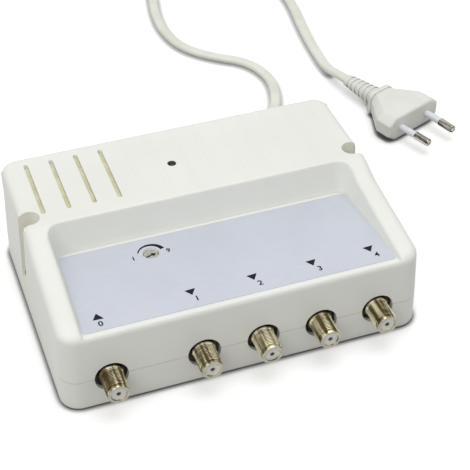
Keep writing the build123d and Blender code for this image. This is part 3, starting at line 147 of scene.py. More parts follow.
coil_radii = [35.5, 32.5, 29.5, 26.5, 23.5, 20.5, 27.5, 30.5, 33.5, 36.5]
coil_heights = [lying] * 5 + [stacked] * 5
points_per_half = 6
# the curve runs inside its points, so they lie this much further out
corner_reach = 1.034


def coil_points():
    """Points of the wound length: half turns between one side and the other, clockwise."""
    points = []
    for i in range(len(coil_radii) - 1):
        side = -1 if i % 2 == 0 else 1
        start, end = coil_radii[i], coil_radii[i + 1]
        radius = (start + end) / 2 * corner_reach
        centre_x = coil_centre[0] + side * (start - end) / 2
        climb = coil_heights[i + 1] - coil_heights[i]
        for k in range(points_per_half):
            share = (k + 0.5) / points_per_half
            x = centre_x + side * radius * cos(pi * share)
            y = coil_centre[1] - side * radius * sin(pi * share)
            points.append((x, y, coil_heights[i] + climb * share))
    return points


def route_line(points):
    """Places along one smooth curve that the points shape."""
    curve = bpy.data.curves.new("cord_route", "CURVE")
    curve.dimensions = "3D"
    spline = curve.splines.new("NURBS")
    spline.points.add(len(points) - 1)
    for point, place in zip(spline.points, points):
        point.co = (place[0] * mm, place[1] * mm, place[2] * mm, 1.0)
    spline.order_u = 3
    spline.use_endpoint_u = True
    spline.resolution_u = 10
    holder = bpy.data.objects.new("cord_route", curve)
    line = bpy.data.meshes.new_from_object(holder)
    places = [v.co.copy() for v in line.vertices]
    bpy.data.objects.remove(holder)
    bpy.data.curves.remove(curve)
    bpy.data.meshes.remove(line)
    return places


def cord_section():
    """Outline of the flat twin jacket: two round cores with a shallow groove between."""
    half_width, half_height = 2.7 * mm, 1.7 * mm
    groove_depth, groove_reach = 0.22 * mm, 0.9 * mm
    flank_steepness = 2.2
    outline = []
    for turn in around(28):
        side = max(-1.0, min(1.0, cos(turn) * flank_steepness))
        across = (half_width - half_height) * side + half_height * cos(turn)
        near_middle = max(0.0, 1.0 - (across / groove_reach) ** 2)
        depth = groove_depth * near_middle * abs(sin(turn))
        outline.append((across, sin(turn) * (half_height - depth)))
    return outline


def sweep_cord(name, places):
    """The jacket's section carried along the line, closed at both ends."""
    mesh = bpy.data.meshes.new(name)
    outline = cord_section()
    count = len(outline)
    corners, faces = [], []
    for i, place in enumerate(places):
        ahead = places[min(i + 1, len(places) - 1)] - places[max(i - 1, 0)]
        across = ahead.cross(Vector((0, 0, 1))).normalized()
        up = across.cross(ahead).normalized()
        corners += [place + across * a + up * b for a, b in outline]
    for i in range(len(places) - 1):
        near, far = i * count, (i + 1) * count
        for k in range(count):
            n = (k + 1) % count
            faces.append((near + k, far + k, far + n, near + n))
    faces.append(tuple(range(count)))
    last = (len(places) - 1) * count
    faces.append(tuple(last + k for k in reversed(range(count))))
    mesh.from_pydata([tuple(c) for c in corners], [], faces)
    shade_smooth(mesh, 60.0)
    return mesh


cord_line = route_line(housing_run + coil_points() + plug_run)
cord_piece = new_object("mains_cord", sweep_cord("mains_cord", cord_line))
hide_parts("cord_from_housing", "cord_coil", "cord_to_plug")


# ---------------------------------------------------------------- helpers for nodes
def add_node(tree, kind, settings=None, values=None):
    """Any node: its type, its settings, set first, then the values or links of its sockets."""
    node = tree.nodes.new(kind)
    for name, value in (settings or {}).items():
        setattr(node, name, value)
    for name, value in (values or {}).items():
        plug_in(tree, node.inputs[name], value)
    return node


def plug_in(tree, socket, value):
    """A link where the value comes from a node, or else the socket's own value."""
    source = value.socket if isinstance(value, Num) else value
    if isinstance(source, bpy.types.NodeSocket):
        tree.links.new(source, socket)
    elif socket.type == "RGBA":
        socket.default_value = (*source, 1.0)
    else:
        socket.default_value = source


class Num:
    """A shader value that works in sums like a number."""

    def __init__(self, tree, socket):
        self.tree = tree
        self.socket = socket

    def math(self, operation, *values):
        settings = {"operation": operation}
        node = add_node(self.tree, "ShaderNodeMath", settings, dict(enumerate(values)))
        return Num(self.tree, node.outputs[0])

    def __add__(self, other):
        return self.math("ADD", self, other)

    def __radd__(self, other):
        return self.math("ADD", other, self)

    def __sub__(self, other):
        return self.math("SUBTRACT", self, other)

    def __rsub__(self, other):
        return self.math("SUBTRACT", other, self)

    def __mul__(self, other):
        return self.math("MULTIPLY", self, other)

    def __mod__(self, other):
        return self.math("FLOORED_MODULO", self, other)

    def __abs__(self):
        return self.math("ABSOLUTE", self)

    def at_least(self, other):
        return self.math("MAXIMUM", self, other)

    def at_most(self, other):
        return self.math("MINIMUM", self, other)

    def above(self, other):
        return self.math("GREATER_THAN", self, other)

    def ramp(self, low, high):
        """0 below low, 1 above high, smooth between."""
        settings = {"interpolation_type": "SMOOTHSTEP"}
        values = {"Value": self, "From Min": low, "From Max": high}
        node = add_node(self.tree, "ShaderNodeMapRange", settings, values)
        return Num(self.tree, node.outputs["Result"])

    def diagonal(self, other):
        """Length of the slanting line whose two legs are this value and the other."""
        return self.math("SQRT", self * self + other * other)


# where a Mix node keeps its first and second value and its result, for each kind
mix_slots = {"RGBA": (6, 7, 2), "VECTOR": (4, 5, 1)}
finishes = {}


class Finish:
    """A procedural material in the object's own coordinates, in metres."""

    def __init__(self, name, metallic=0.0, coat=0.0):
        material = bpy.data.materials.new(name)
        material.use_nodes = True
        finishes[name] = material
        self.tree = material.node_tree
        self.shader = self.tree.nodes["Principled BSDF"]
        self.set("Metallic", metallic)
        self.set("Coat Weight", coat)
        self.place = self.node("ShaderNodeTexCoord").outputs["Object"]
        split = self.node("ShaderNodeSeparateXYZ", values={"Vector": self.place})
        self.x, self.y, self.z = [Num(self.tree, socket) for socket in split.outputs]

    def node(self, kind, settings=None, values=None):
        return add_node(self.tree, kind, settings, values)

    def set(self, name, value):
        """One socket of the shader."""
        plug_in(self.tree, self.shader.inputs[name], value)

    def noise(self, size, detail=3.0, stretch=(1.0, 1.0, 1.0), heading=0.0):
        """Cloudy values about one half; size is a patch's width, heading turns its stretch."""
        mapping = self.node("ShaderNodeMapping", {"vector_type": "TEXTURE"}, {
            "Rotation": (0.0, 0.0, heading),
            "Scale": [1.0 / share for share in stretch],
            "Vector": self.place,
        })
        cloud = self.node("ShaderNodeTexNoise", values={
            "Scale": 1.0 / size,
            "Detail": detail,
            "Vector": mapping.outputs["Vector"],
        })
        return Num(self.tree, cloud.outputs[0])

    def grains(self, size):
        """Distance to the nearest of many scattered grains."""
        values = {"Scale": 1.0 / size, "Vector": self.place}
        cells = self.node("ShaderNodeTexVoronoi", values=values)
        return Num(self.tree, cells.outputs["Distance"])

    def blend(self, first, second, factor, kind="RGBA"):
        """A colour, or a direction, between two others."""
        first_slot, second_slot, result = mix_slots[kind]
        values = {0: factor, first_slot: first, second_slot: second}
        return self.node("ShaderNodeMix", {"data_type": kind}, values).outputs[result]

    def two_tone(self, dark, light, patches):
        """A dark and a light tone in soft patches."""
        return self.blend(dark, light, patches.ramp(0.3, 0.7))

    def uneven(self, base, *swings):
        """A base value that swings about with each value by its span."""
        for value, span in swings:
            base = base + (value - 0.5) * span
        return base

    def relief(self, height, depth, strength=1.0, soft=0.0, where=None):
        """Bump by height, of which 1 stands for depth, over edges softened by soft; metres."""
        values = {"Strength": strength, "Distance": depth, "Height": height}
        bump = self.node("ShaderNodeBump", values=values)
        if soft:
            rounded = self.node("ShaderNodeBevel", {"samples": 8}, {"Radius": soft})
            normal = rounded.outputs["Normal"]
            if where:
                flat = self.node("ShaderNodeNewGeometry").outputs["Normal"]
                normal = self.blend(flat, normal, where, "VECTOR")
            plug_in(self.tree, bump.inputs["Normal"], normal)
        self.set("Normal", bump.outputs["Normal"])


# ---------------------------------------------------------------- materials
def plain_finish(slot, dark, light, rough, metallic=0.0, size=0.004, grain=0.0005,
                 depth=0.00001, coat=0.0, stretch=(1.0, 1.0, 1.0), specular=0.5):
    """Two tones in soft patches, uneven gloss and a fine grain."""
    made = Finish(slot, metallic, coat)
    made.set("Specular IOR Level", specular)
    patches = made.noise(size, 4.0, stretch)
    fine = made.noise(grain, 2.0, stretch)
    made.set("Base Color", made.two_tone(dark, light, patches * 0.7 + fine * 0.3))
    made.set("Roughness", made.uneven(rough, (patches, 0.12), (fine, 0.08)))
    made.relief(fine, depth)


def closed_slots(made, from_lamp):
    """1 on the outlines of the slots that the mould left closed, in the open slots' row."""
    middle_y, half_straight, half_width = 0.0288, 0.0205, 0.001
    roof_low, roof_high, first_x, lamp_room = 0.0470, 0.0476, -0.0270, 0.003
    half_pitch = slot_pitch * mm / 2
    row_start = (slot_first_x + slot_count * slot_pitch) * mm - half_pitch
    beside = abs((made.x - row_start) % (2 * half_pitch) - half_pitch)
    beyond = (abs(made.y - middle_y) - half_straight).at_least(0.0)
    line = 1.0 - abs(beside.diagonal(beyond) - half_width).ramp(0.00008, 0.00034)
    roof = made.z.ramp(roof_low, roof_high) * made.x.above(first_x)
    return line * roof * from_lamp.above(lamp_room)


def screw_channels(made):
    """1 on the walls of the round-ended channel in each side."""
    axis_x, axis_y, wall_low, wall_high = 0.07225, 0.011, 0.00415, 0.00435
    ledge_height, inner_x = 0.0144, 0.0670
    inward = (axis_x - abs(made.x)).at_least(0.0)
    inside = 1.0 - inward.diagonal(made.y - axis_y).ramp(wall_low, wall_high)
    return inside * made.z.above(ledge_height) * abs(made.x).above(inner_x)


def housing_finish():
    """Moulded plastic: a fine grain, soft unevenness, and faint slot outlines on the roof."""
    seam_height = 0.01445
    made = Finish("housing_plastic")
    patches = made.noise(0.045, 3.0)
    grain = made.noise(0.0009, 3.0)
    pits = made.grains(0.0013)
    from_lamp = (made.x - lamp_place[0] * mm).diagonal(made.y - lamp_place[1] * mm)
    outline = closed_slots(made, from_lamp)
    tone = made.two_tone((0.792, 0.798, 0.744), (0.824, 0.832, 0.784), patches)
    tone = made.blend(tone, (0.740, 0.742, 0.690), outline * 0.26)
    # painted shade: the plastic is painted darker and yellower over the lowest 6 mm, next to the
    # floor
    painted_foot_shade = 1.0 - made.z.ramp(0.0, 0.006)
    tone = made.blend(tone, (0.73, 0.715, 0.635), painted_foot_shade * 0.30)
    # painted warm bounce light: the plastic is painted a warmer, yellower tone in the screw
    # channels and along the seam
    seam = 1.0 - abs(made.z - seam_height).ramp(0.0002, 0.0005)
    painted_warm_bounce = (screw_channels(made) * 0.8).at_least(seam * 0.6)
    tone = made.blend(tone, (0.84, 0.81, 0.66), painted_warm_bounce)
    # painted shade with a painted green reflection: the wall of the lamp's hole is painted dark
    # green
    window_edge, window_top = (0.00197, 0.00205), (0.04755, 0.04785)
    painted_window_shade = (1.0 - from_lamp.ramp(*window_edge)) * (1.0 - made.z.ramp(*window_top))
    tone = made.blend(tone, (0.050, 0.062, 0.022), painted_window_shade * 0.9)
    made.set("Base Color", tone)
    made.set("Roughness", made.uneven(0.46, (patches, 0.10), (grain, 0.10)))
    # only the recess's rim has softened edges: above the walls, below the roof, before the rear
    above_walls = made.z.ramp(0.0305, 0.0335)
    under_roof = 1.0 - made.z.ramp(0.0462, 0.0470)
    before_rear = 1.0 - made.y.ramp(0.0140, 0.0190)
    rims = above_walls * under_roof * before_rear
    made.relief(grain * 0.5 + pits * 0.3 - outline * 1.2, 0.00004, 0.7, 0.0031, rims)


def label_finish():
    """Silver-grey printed sheet with a fine satin grain along its length."""
    made = Finish("label_sheet", 0.12)
    brushed = made.noise(0.0006, 2.0, (0.12, 1.0, 1.0))
    patches = made.noise(0.03, 2.0)
    share = brushed * 0.5 + patches * 0.5
    made.set("Base Color", made.two_tone((0.555, 0.580, 0.650), (0.600, 0.625, 0.695), share))
    made.set("Roughness", made.uneven(0.38, (brushed, 0.16), (patches, 0.08)))
    made.relief(brushed, 0.000012)


def from_socket_axis(made):
    """Distance to the axis of the nearest socket."""
    first, *others = [abs(made.x - x * mm) for x in socket_places.values()]
    for other in others:
        first = first.at_most(other)
    return first.diagonal(made.z - socket_height * mm)


def nickel_finish():
    """Plated brass, turned: fine rings, stripes of painted reflection, and painted shade in the
    thread and in the housing.
    """
    made = Finish("nickel_plate", 1.0)
    rings = made.noise(0.00025, 2.0, (0.08, 1.0, 0.08))
    patches = made.noise(0.002, 3.0)
    # painted reflection: noise stretched along the barrel, mixed from near black to pale brass,
    # stands in for its bright and dark reflections
    painted_reflection_streaks = made.noise(0.0019, 1.0, (1.0, 0.05, 1.0))
    rings_and_painted_reflection = (painted_reflection_streaks * 0.7 + rings * 0.15 + patches * 0.15).ramp(0.42, 0.59)
    tone = made.blend((0.128, 0.094, 0.036), (0.80, 0.73, 0.50), rings_and_painted_reflection)
    # painted shade: the thread is painted dark at its roots, up to its crests, and not in the bore
    root_fade, bore_edge = (0.00440, 0.00462), 0.0040
    radius = from_socket_axis(made)
    thread = made.y.above((tip_y + 2.0) * mm) * radius.above(bore_edge)
    painted_root_shade = (1.0 - radius.ramp(*root_fade)) * thread
    # painted shade: the barrel is painted near black where it lies inside the housing, and made
    # rougher there
    painted_hole_shade = made.y.ramp((front_y + 0.2) * mm, (front_y + 1.1) * mm)
    tip = 1.0 - made.y.ramp((tip_y + 0.08) * mm, (tip_y + 0.40) * mm)
    tone = made.blend(tone, (0.05, 0.038, 0.016), painted_root_shade * 0.85)
    tone = made.blend(tone, (0.34, 0.33, 0.285), tip * 0.9)
    tone = made.blend(tone, (0.035, 0.030, 0.024), painted_hole_shade * 0.95)
    made.set("Base Color", tone)
    made.set("Roughness", made.uneven(0.15, (rings, 0.12), (patches, 0.08)) + painted_hole_shade * 0.35)
    made.relief(rings, 0.000008)


def insulator_finish():
    """Moulded discs in the sockets' mouths, with shade painted dark round the hole for the plug's
    wire.
    """
    painted_shade_ring = (0.00070, 0.00135)
    made = Finish("white_insulator")
    patches = made.noise(0.0012, 3.0)
    fine = made.noise(0.0003, 2.0)
    clean = made.two_tone((0.71, 0.705, 0.655), (0.79, 0.785, 0.735), patches)
    # painted shade: the disc is painted darker towards the hole
    off_hole = from_socket_axis(made).ramp(*painted_shade_ring)
    made.set("Base Color", made.blend((0.14, 0.125, 0.095), clean, off_hole))
    made.set("Roughness", made.uneven(0.34, (patches, 0.12)))
    made.relief(fine, 0.00001)


def pin_finish():
    """Polished pins with stripes of painted reflection along their length, and faint marks of use.
    """
    made = Finish("pin_metal", 1.0)
    patches = made.noise(0.0016, 3.0)
    fine = made.noise(0.0004, 2.0)
    # painted reflection: dark and light stripes along each pin
    painted_reflection_bands = made.noise(0.0011, 1.0, (0.04, 1.0, 1.0), plug_heading)
    share = (painted_reflection_bands * 0.85 + patches * 0.15).ramp(0.38, 0.60)
    made.set("Base Color", made.blend((0.045, 0.040, 0.032), (0.53, 0.50, 0.445), share))
    made.set("Roughness", made.uneven(0.14, (patches, 0.08), (fine, 0.04)))
    made.relief(fine, 0.000003)


def plug_finish():
    """The plug's moulding, with softened edges."""
    made = Finish("plug_plastic")
    patches = made.noise(0.016, 4.0)
    fine = made.noise(0.0007, 3.0)
    made.set("Base Color", made.two_tone((0.745, 0.745, 0.690), (0.800, 0.802, 0.755), patches))
    made.set("Roughness", made.uneven(0.42, (patches, 0.12), (fine, 0.10)))
    made.relief(fine, 0.00002, 1.0, 0.0014)


def slot_finish():
    """The floor seen in the cooling slots, darker and yellower than the housing as painted shade
    and warm bounce light.
    """
    made = Finish("slot_floor")
    patches = made.noise(0.006, 3.0)
    fine = made.noise(0.0005, 2.0)
    # painted shade and painted warm bounce: the slot floor's tone is darker and yellower than the
    # housing's
    made.set("Base Color", made.two_tone((0.62, 0.592, 0.400), (0.72, 0.692, 0.500), patches))
    made.set("Roughness", made.uneven(0.60, (fine, 0.12)))
    made.relief(fine, 0.00002)


def jacket_finish():
    """Soft moulded cord plastic, slightly waxy, with handling marks."""
    made = Finish("cord_jacket")
    patches = made.noise(0.012, 4.0)
    fine = made.noise(0.0006, 2.0)
    made.set("Base Color", made.two_tone((0.715, 0.722, 0.635), (0.785, 0.793, 0.718), patches))
    made.set("Roughness", made.uneven(0.36, (patches, 0.14), (fine, 0.08)))
    made.relief(fine, 0.000014)


def trimmer_finish():
    """Grey-green shaft and body, with shade painted near black in the arrow slot and below."""
    slot_floor_height, face_height = 0.0326, 0.0331
    made = Finish("trimmer_plastic")
    patches = made.noise(0.0012, 3.0)
    fine = made.noise(0.0003, 2.0)
    face = made.two_tone((0.34, 0.345, 0.30), (0.50, 0.505, 0.45), patches)
    on_face = made.z.ramp(slot_floor_height, face_height)
    # painted shade: below the face the shaft is painted near black
    made.set("Base Color", made.blend((0.045, 0.045, 0.038), face, on_face))
    made.set("Roughness", made.uneven(0.34, (fine, 0.14)))
    made.relief(fine, 0.000015)


for make_finish in (housing_finish, label_finish, nickel_finish, insulator_finish, jacket_finish,
                    trimmer_finish, pin_finish, plug_finish, slot_finish):
    make_finish()
plain_finish("tinned_sheet", (0.52, 0.53, 0.53), (0.70, 0.71, 0.70), 0.34,
             metallic=1.0, size=0.006, grain=0.0006)
plain_finish("contact_brass", (0.55, 0.40, 0.17), (0.74, 0.58, 0.30), 0.30,
             metallic=1.0, size=0.001, grain=0.0002)
plain_finish("circuit_board", (0.045, 0.17, 0.07), (0.075, 0.24, 0.11), 0.36,
             size=0.005, grain=0.0007, depth=0.00003, coat=0.3)
plain_finish("ferrite", (0.035, 0.035, 0.038), (0.075, 0.075, 0.078), 0.62,
             size=0.002, grain=0.0003, depth=0.00002)
plain_finish("copper_wire", (0.50, 0.20, 0.07), (0.68, 0.32, 0.14), 0.28,
             metallic=1.0, size=0.001, grain=0.00035, depth=0.00003, coat=0.4)
plain_finish("black_resin", (0.018, 0.018, 0.019), (0.040, 0.040, 0.042), 0.52,
             size=0.002, grain=0.0004, depth=0.00002)
plain_finish("can_sleeve", (0.018, 0.024, 0.070), (0.035, 0.045, 0.110), 0.24, coat=0.3)
plain_finish("suppressor_case", (0.60, 0.40, 0.035), (0.72, 0.52, 0.070), 0.34)
plain_finish("core_steel", (0.16, 0.16, 0.17), (0.30, 0.30, 0.31), 0.44,
             metallic=1.0, size=0.003, depth=0.00008, stretch=(0.1, 1.0, 0.1))
plain_finish("bobbin_nylon", (0.055, 0.075, 0.065), (0.095, 0.120, 0.105), 0.42, grain=0.0006)
plain_finish("sink_aluminium", (0.52, 0.53, 0.54), (0.68, 0.69, 0.70), 0.36,
             metallic=1.0, stretch=(0.15, 1.0, 1.0))
plain_finish("fuse_sleeve", (0.60, 0.60, 0.54), (0.72, 0.72, 0.66), 0.20, size=0.003)
plain_finish("lamp_lens", (0.010, 0.024, 0.003), (0.026, 0.052, 0.007), 0.34,
             size=0.0014, grain=0.0003, depth=0.000005, specular=0.25)
plain_finish("lead_insulation", (0.030, 0.080, 0.300), (0.060, 0.130, 0.420), 0.38, size=0.003)
plain_finish("zinc_steel", (0.50, 0.52, 0.53), (0.70, 0.71, 0.70), 0.30,
             metallic=1.0, size=0.0015, grain=0.0003)
plain_finish("clamp_plastic", (0.075, 0.075, 0.075), (0.125, 0.125, 0.125), 0.52,
             size=0.003, depth=0.00002)
plain_finish("tie_plastic", (0.030, 0.030, 0.031), (0.060, 0.060, 0.061), 0.48,
             size=0.003, depth=0.00002)
plain_finish("sleeve_white", (0.70, 0.71, 0.76), (0.78, 0.79, 0.84), 0.40,
             size=0.002, grain=0.0004)
plain_finish("label_ink", (0.004, 0.005, 0.007), (0.010, 0.011, 0.015), 0.60,
             size=0.0016, grain=0.0003, depth=0.000006, specular=0.15)

own_finish = {"plug_pins": "pin_metal", "plug_body": "plug_plastic"}
for part in frame["record"]["subparts"]:
    obj = nodes[part["node"]]
    chosen = finishes[own_finish.get(part["node"], part["material_slot"])]
    if not obj.material_slots:
        obj.data.materials.append(chosen)
    for material_slot in obj.material_slots:
        material_slot.material = chosen
cord_piece.data.materials.append(finishes["cord_jacket"])


# ---------------------------------------------------------------- helpers for node groups
def new_group(name, inputs):
    """A geometry node group with these named inputs, and the sockets that they come from."""
    group = bpy.data.node_groups.new(name, "GeometryNodeTree")
    for label, kind in inputs.items():
        group.interface.new_socket(label, in_out="INPUT", socket_type="NodeSocket" + kind)
    group.interface.new_socket("Geometry", in_out="OUTPUT", socket_type="NodeSocketGeometry")
    return group, add_node(group, "NodeGroupInput").outputs


def end_group(group, geometry, material):
    """Every group's end: instances made real, and the material laid on."""
    real = add_node(group, "GeometryNodeRealizeInstances", values={"Geometry": geometry})
    paint = add_node(group, "GeometryNodeSetMaterial", values={
        "Geometry": real.outputs["Geometry"],
        "Material": material,
    })
    add_node(group, "NodeGroupOutput", values={"Geometry": paint.outputs["Geometry"]})
    return group


def apply_group(obj, group, values):
    """Run a node group on a piece and keep the result as a plain mesh."""
    modifier = obj.modifiers.new(group.name, "NODES")
    modifier.node_group = group
    for item in group.interface.items_tree:
        if item.in_out == "INPUT" and item.name in values:
            modifier[item.identifier] = values[item.name]
    graph = bpy.context.evaluated_depsgraph_get()
    obj.data = bpy.data.meshes.new_from_object(obj.evaluated_get(graph))
    obj.modifiers.remove(modifier)


# ---------------------------------------------------------------- sockets
# radius and place along the axis, from the bore at the tail round the tip and back
barrel_profile = [
    (3.25, tail_y),
    (3.25, tip_y + 0.35),
    (3.32, tip_y + 0.12),
    (3.50, tip_y + 0.02),
    (3.72, tip_y),
    (4.10, tip_y),
    (4.30, tip_y + 0.05),
    (4.44, tip_y + 0.18),
    (4.50, tip_y + 0.36),
    (4.50, tip_y + 1.75),
    (4.32, tip_y + 1.95),
    (4.32, front_y + 0.15),
    (4.76, front_y + 0.45),
    (5.30, front_y + 1.0),
    (5.30, flange_y - 1.4),
    (6.25, flange_y - 1.4),
    (6.40, flange_y - 1.25),
    (6.40, flange_y - 0.15),
    (6.25, flange_y),
    (5.00, flange_y),
    (5.00, tail_y),
]
thread_pitch = 0.794
thread_radius = 4.52
ridge_radius = 0.24
thread_start = tip_y + 2.15
thread_length = front_y - 0.1 - thread_start


def lathe_barrel(name, x):
    """The barrel turned about its own axis, which lies along Y."""
    made = bmesh.new()
    rings = []
    for turn in around(64):
        ring = []
        for radius, y in barrel_profile:
            place = (x + radius * cos(turn), y, socket_height + radius * sin(turn))
            ring.append(made.verts.new([v * mm for v in place]))
        rings.append(ring)
    count = len(barrel_profile)
    for near, far in zip(rings, rings[1:] + rings[:1]):
        for k in range(count):
            n = (k + 1) % count
            made.faces.new((near[k], far[k], far[n], near[n]))
    bmesh.ops.recalc_face_normals(made, faces=made.faces)
    mesh = mesh_from(made, name)
    shade_smooth(mesh, 32.0)
    return mesh


def thread_nodes():
    """Node group that adds a spiral ridge to a barrel."""
    group, given = new_group("thread_ridge", {
        "Geometry": "Geometry",
        "Turns": "Float",
        "Radius": "Float",
        "Length": "Float",
        "Ridge": "Float",
        "Start": "Vector",
        "Metal": "Material",
    })
    spiral = add_node(group, "GeometryNodeCurveSpiral", values={
        "Resolution": 36,
        "Rotations": given["Turns"],
        "Start Radius": given["Radius"],
        "End Radius": given["Radius"],
        "Height": given["Length"],
    })
    ridge = add_node(group, "GeometryNodeCurvePrimitiveCircle", values={
        "Resolution": 8,
        "Radius": given["Ridge"],
    })
    sweep = add_node(group, "GeometryNodeCurveToMesh", values={
        "Curve": spiral.outputs["Curve"],
        "Profile Curve": ridge.outputs["Curve"],
        "Fill Caps": True,
    })
    smooth = add_node(group, "GeometryNodeSetShadeSmooth", values={
        "Geometry": sweep.outputs["Mesh"],
    })
    lay = add_node(group, "GeometryNodeTransform", values={
        "Geometry": smooth.outputs["Geometry"],
        "Rotation": (radians(-90.0), 0.0, 0.0),
        "Translation": given["Start"],
    })
    join = add_node(group, "GeometryNodeJoinGeometry", values={
        "Geometry": lay.outputs["Geometry"],
    })
    plug_in(group, join.inputs["Geometry"], given["Geometry"])
    return end_group(group, join.outputs["Geometry"], given["Metal"])


thread_group = thread_nodes()
for node, x in socket_places.items():
    barrel = new_object(node + "_turned", lathe_barrel(node + "_turned", x))
    apply_group(barrel, thread_group, {
        "Turns": thread_length / thread_pitch,
        "Radius": thread_radius * mm,
        "Length": thread_length * mm,
        "Ridge": ridge_radius * mm,
        "Start": (x * mm, thread_start * mm, socket_height * mm),
        "Metal": finishes["nickel_plate"],
    })
    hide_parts(node)


# ---------------------------------------------------------------- label print
# the label lies on the recess's floor, which rises towards the front
recess_back_y = 1.0
recess_back_height = 33.4
label_tilt = 0.0569649
label_thickness = 0.3
print_height = 0.03
number_height, scale_number_height = 2.8, 2.4
# share of a font's size that its digits stand high
digit_share = 0.69
stroke_thickening = 0.09


def on_label(x, y):
    """The place on the label's print above x and y in millimetres."""
    rise = (recess_back_y - y) * tan(label_tilt)
    z = recess_back_height + rise + (label_thickness + print_height) / cos(label_tilt)
    return Vector((x * mm, y * mm, z * mm))


def add_outline(made, corners):
    """A flat printed shape, its corners given in millimetres on the label."""
    area = sum(a[0] * b[1] - b[0] * a[1] for a, b in zip(corners, corners[1:] + corners[:1]))
    if area < 0:
        corners = corners[::-1]
    made.faces.new([made.verts.new(on_label(x, y)) for x, y in corners])


def add_number(made, words, x, y, height):
    """A printed number with its middle at x and y."""
    curve = bpy.data.curves.new("words", "FONT")
    curve.body = words
    curve.size = height * mm / digit_share
    curve.align_x = "CENTER"
    curve.align_y = "CENTER"
    curve.resolution_u = 4
    curve.offset = stroke_thickening * mm
    holder = bpy.data.objects.new("words", curve)
    mesh = bpy.data.meshes.new_from_object(holder)
    mesh.transform(Matrix.Translation(on_label(x, y)) @ Matrix.Rotation(-label_tilt, 4, "X"))
    made.from_mesh(mesh)
    bpy.data.objects.remove(holder)
    bpy.data.curves.remove(curve)
    bpy.data.meshes.remove(mesh)


def arc_scale(made):
    """Wedge-shaped scale round the trimmer, thin at its start and thick at its end."""
    radius, start, end = 5.45, 164.0, 14.0
    start_width, end_width = 0.45, 1.9
    steps = 40
    outer, inner = [], []
    for i in range(steps + 1):
        share = i / steps
        turn = radians(start + (end - start) * share)
        half = (start_width + (end_width - start_width) * share) / 2
        for edge, reach in ((outer, radius + half), (inner, radius - half)):
            x = trimmer_place[0] + reach * cos(turn)
            y = trimmer_place[1] + reach * sin(turn)
            edge.append((x, y))
    for i in range(steps):
        add_outline(made, [outer[i], outer[i + 1], inner[i + 1], inner[i]])


printed = bmesh.new()
add_outline(printed, [(-58.7, -40.7), (-60.9, -44.3), (-56.4, -44.5)])
for middle in (-19.6, 6.8, 32.6, 58.2):
    add_outline(printed, [(middle - 2.3, -39.9), (middle + 2.3, -39.6), (middle, -43.4)])
for number, x in (("1", -18.4), ("2", 8.4), ("3", 34.4), ("4", 59.8)):
    add_number(printed, number, x, -46.0, number_height)
add_number(printed, "0", -58.4, -47.2, number_height)
add_number(printed, "1", -35.2, -12.8, scale_number_height)
add_number(printed, "9", -20.0, -12.4, scale_number_height)
arc_scale(printed)
label_print = new_object("label_print", mesh_from(printed, "label_print"))
label_print.data.materials.append(finishes["label_ink"])

# ---------------------------------------------------------------- floors of the cooling slots
strip_ends = (13.0, 46.0)
strip_heights = (45.95, 46.5)
strip_half_width = 0.95


def slot_strip():
    """A thin strip with round ends that closes the first slot a little below the roof."""
    outline = []
    for turn in around(24):
        end = strip_ends[1] if sin(turn) >= 0 else strip_ends[0]
        x = slot_first_x + strip_half_width * cos(turn)
        outline.append((x, end + strip_half_width * sin(turn)))
    made = bmesh.new()
    lower, upper = [
        [made.verts.new((x * mm, y * mm, z * mm)) for x, y in outline] for z in strip_heights
    ]
    made.faces.new(upper)
    made.faces.new(lower[::-1])
    for k in range(len(outline)):
        n = (k + 1) % len(outline)
        made.faces.new((lower[k], lower[n], upper[n], upper[k]))
    mesh = mesh_from(made, "slot_floors")
    shade_smooth(mesh, 35.0)
    return mesh


def row_nodes():
    """Node group that repeats a piece in a straight row."""
    group, given = new_group("slot_row", {
        "Geometry": "Geometry",
        "Count": "Int",
        "Step": "Vector",
        "Finish": "Material",
    })
    line = add_node(group, "GeometryNodeMeshLine", values={
        "Count": given["Count"],
        "Offset": given["Step"],
    })
    copies = add_node(group, "GeometryNodeInstanceOnPoints", values={
        "Points": line.outputs["Mesh"],
        "Instance": given["Geometry"],
    })
    return end_group(group, copies.outputs["Instances"], given["Finish"])


slot_floors = new_object("slot_floors", slot_strip())
apply_group(slot_floors, row_nodes(), {
    "Count": slot_count,
    "Step": (slot_pitch * mm, 0.0, 0.0),
    "Finish": finishes["slot_floor"],
})


# ---------------------------------------------------------------- floor and light
def seen_directly(tree):
    """1 for camera rays and for rays mirrored or let through by the object, 0 for the rest."""
    rays = add_node(tree, "ShaderNodeLightPath").outputs
    camera_ray, mirrored, let_through = [
        Num(tree, rays[name]) for name in ("Is Camera Ray", "Is Glossy Ray", "Is Transmission Ray")
    ]
    return camera_ray.at_least(mirrored).at_least(let_through)


def cord_alone(made):
    """1 on the floor where the cord lies, away from the housing and the plug."""
    plug_x, plug_y = 0.125, 0.100
    behind_housing, round_plug = (0.070, 0.090), (0.028, 0.042)
    from_plug = (made.x - plug_x).diagonal(made.y - plug_y)
    return made.y.ramp(*behind_housing) * from_plug.ramp(*round_plug)


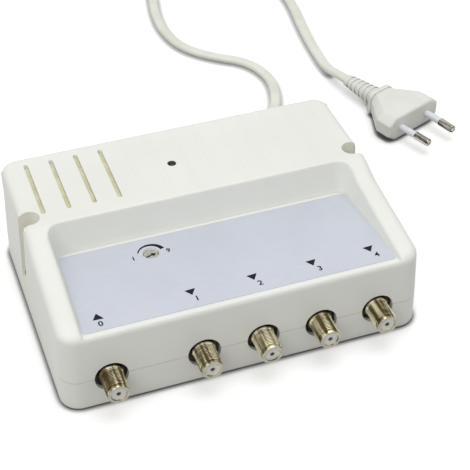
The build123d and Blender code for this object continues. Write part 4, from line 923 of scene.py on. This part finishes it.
def floor_finish():
    """Paper that looks white, lights the object little, and has a contact shadow painted dark where
    the object touches.
    """
    contact_reach = 0.0036
    made = Finish("floor_paper")
    patches = made.noise(0.08, 2.0)
    seen = seen_directly(made.tree)
    painted_contact_shadow = made.node("ShaderNodeAmbientOcclusion", {"samples": 12}, {"Distance": contact_reach})
    open_sky = Num(made.tree, painted_contact_shadow.outputs["AO"]).ramp(0.45, 0.95)
    # the painted contact shadow is made weaker where only the cord lies
    open_sky = open_sky.at_least(cord_alone(made) * 0.6)
    white = made.blend((0.985, 0.985, 0.985), (1.0, 1.0, 1.0), patches)
    # painted shadow: the paper's colour and glow go dark where the occlusion reaches
    white = made.blend((0.15, 0.14, 0.15), white, open_sky)
    made.set("Base Color", made.blend((0.34, 0.34, 0.33), white, seen))
    made.set("Roughness", made.uneven(0.9, (patches, 0.05)))
    made.set("Specular IOR Level", 0.1)
    made.set("Emission Strength", 1.0)
    far = made.x.diagonal(made.y).ramp(0.5, 2.5)
    glow = made.blend((0.17, 0.17, 0.17), (1.0, 1.0, 1.0), far)
    made.set("Emission Color", made.blend((0.0, 0.0, 0.0), glow, seen * open_sky))


floor_finish()
half_side = 12.0
floor_corners = [(x * half_side, y * half_side, 0) for x, y in ((-1, -1), (1, -1), (1, 1), (-1, 1))]
floor_mesh = bpy.data.meshes.new("floor")
floor_mesh.from_pydata(floor_corners, [], [(0, 1, 2, 3)])
floor_mesh.materials.append(finishes["floor_paper"])
floor = bpy.data.objects.new("floor", floor_mesh)
bpy.context.collection.objects.link(floor)


def area_light(name, place, aim, size, power):
    """A rectangular lamp at a place, turned to its aim; metres and watts."""
    light = bpy.data.lights.new(name, "AREA")
    light.shape = "RECTANGLE"
    light.size, light.size_y = size
    light.energy = power
    obj = bpy.data.objects.new(name, light)
    obj.location = place
    obj.rotation_mode = "QUATERNION"
    obj.rotation_quaternion = (Vector(aim) - Vector(place)).to_track_quat("-Z", "Y")
    bpy.context.collection.objects.link(obj)


area_light("key_light", place=(0.22, 0.15, 1.30), aim=(0.0, 0.0, 0.0), size=(1.1, 1.1), power=6.8)
area_light("left_light", place=(-1.25, 0.10, 0.45), aim=(-0.07, 0.0, 0.02), size=(0.7, 0.6),
           power=0.8)
area_light("front_light", place=(-0.75, -0.85, 1.10), aim=(0.0, 0.0, 0.02), size=(1.2, 0.8),
           power=7.2)

# white to the eye and in mirrors, half as bright where it only lights the object
world = bpy.data.worlds.new("studio")
world.use_nodes = True
bpy.context.scene.world = world
sky = world.node_tree
surround = sky.nodes["Background"]
backdrop = add_node(sky, "ShaderNodeBackground")
for background, strength in ((surround, 0.50), (backdrop, 1.0)):
    plug_in(sky, background.inputs["Color"], (1.0, 1.0, 1.0))
    plug_in(sky, background.inputs["Strength"], strength)
choice = add_node(sky, "ShaderNodeMixShader", values={
    0: seen_directly(sky),
    1: surround.outputs["Background"],
    2: backdrop.outputs["Background"],
})
plug_in(sky, sky.nodes["World Output"].inputs["Surface"], choice.outputs["Shader"])

bpy.context.scene.view_settings.view_transform = "Standard"
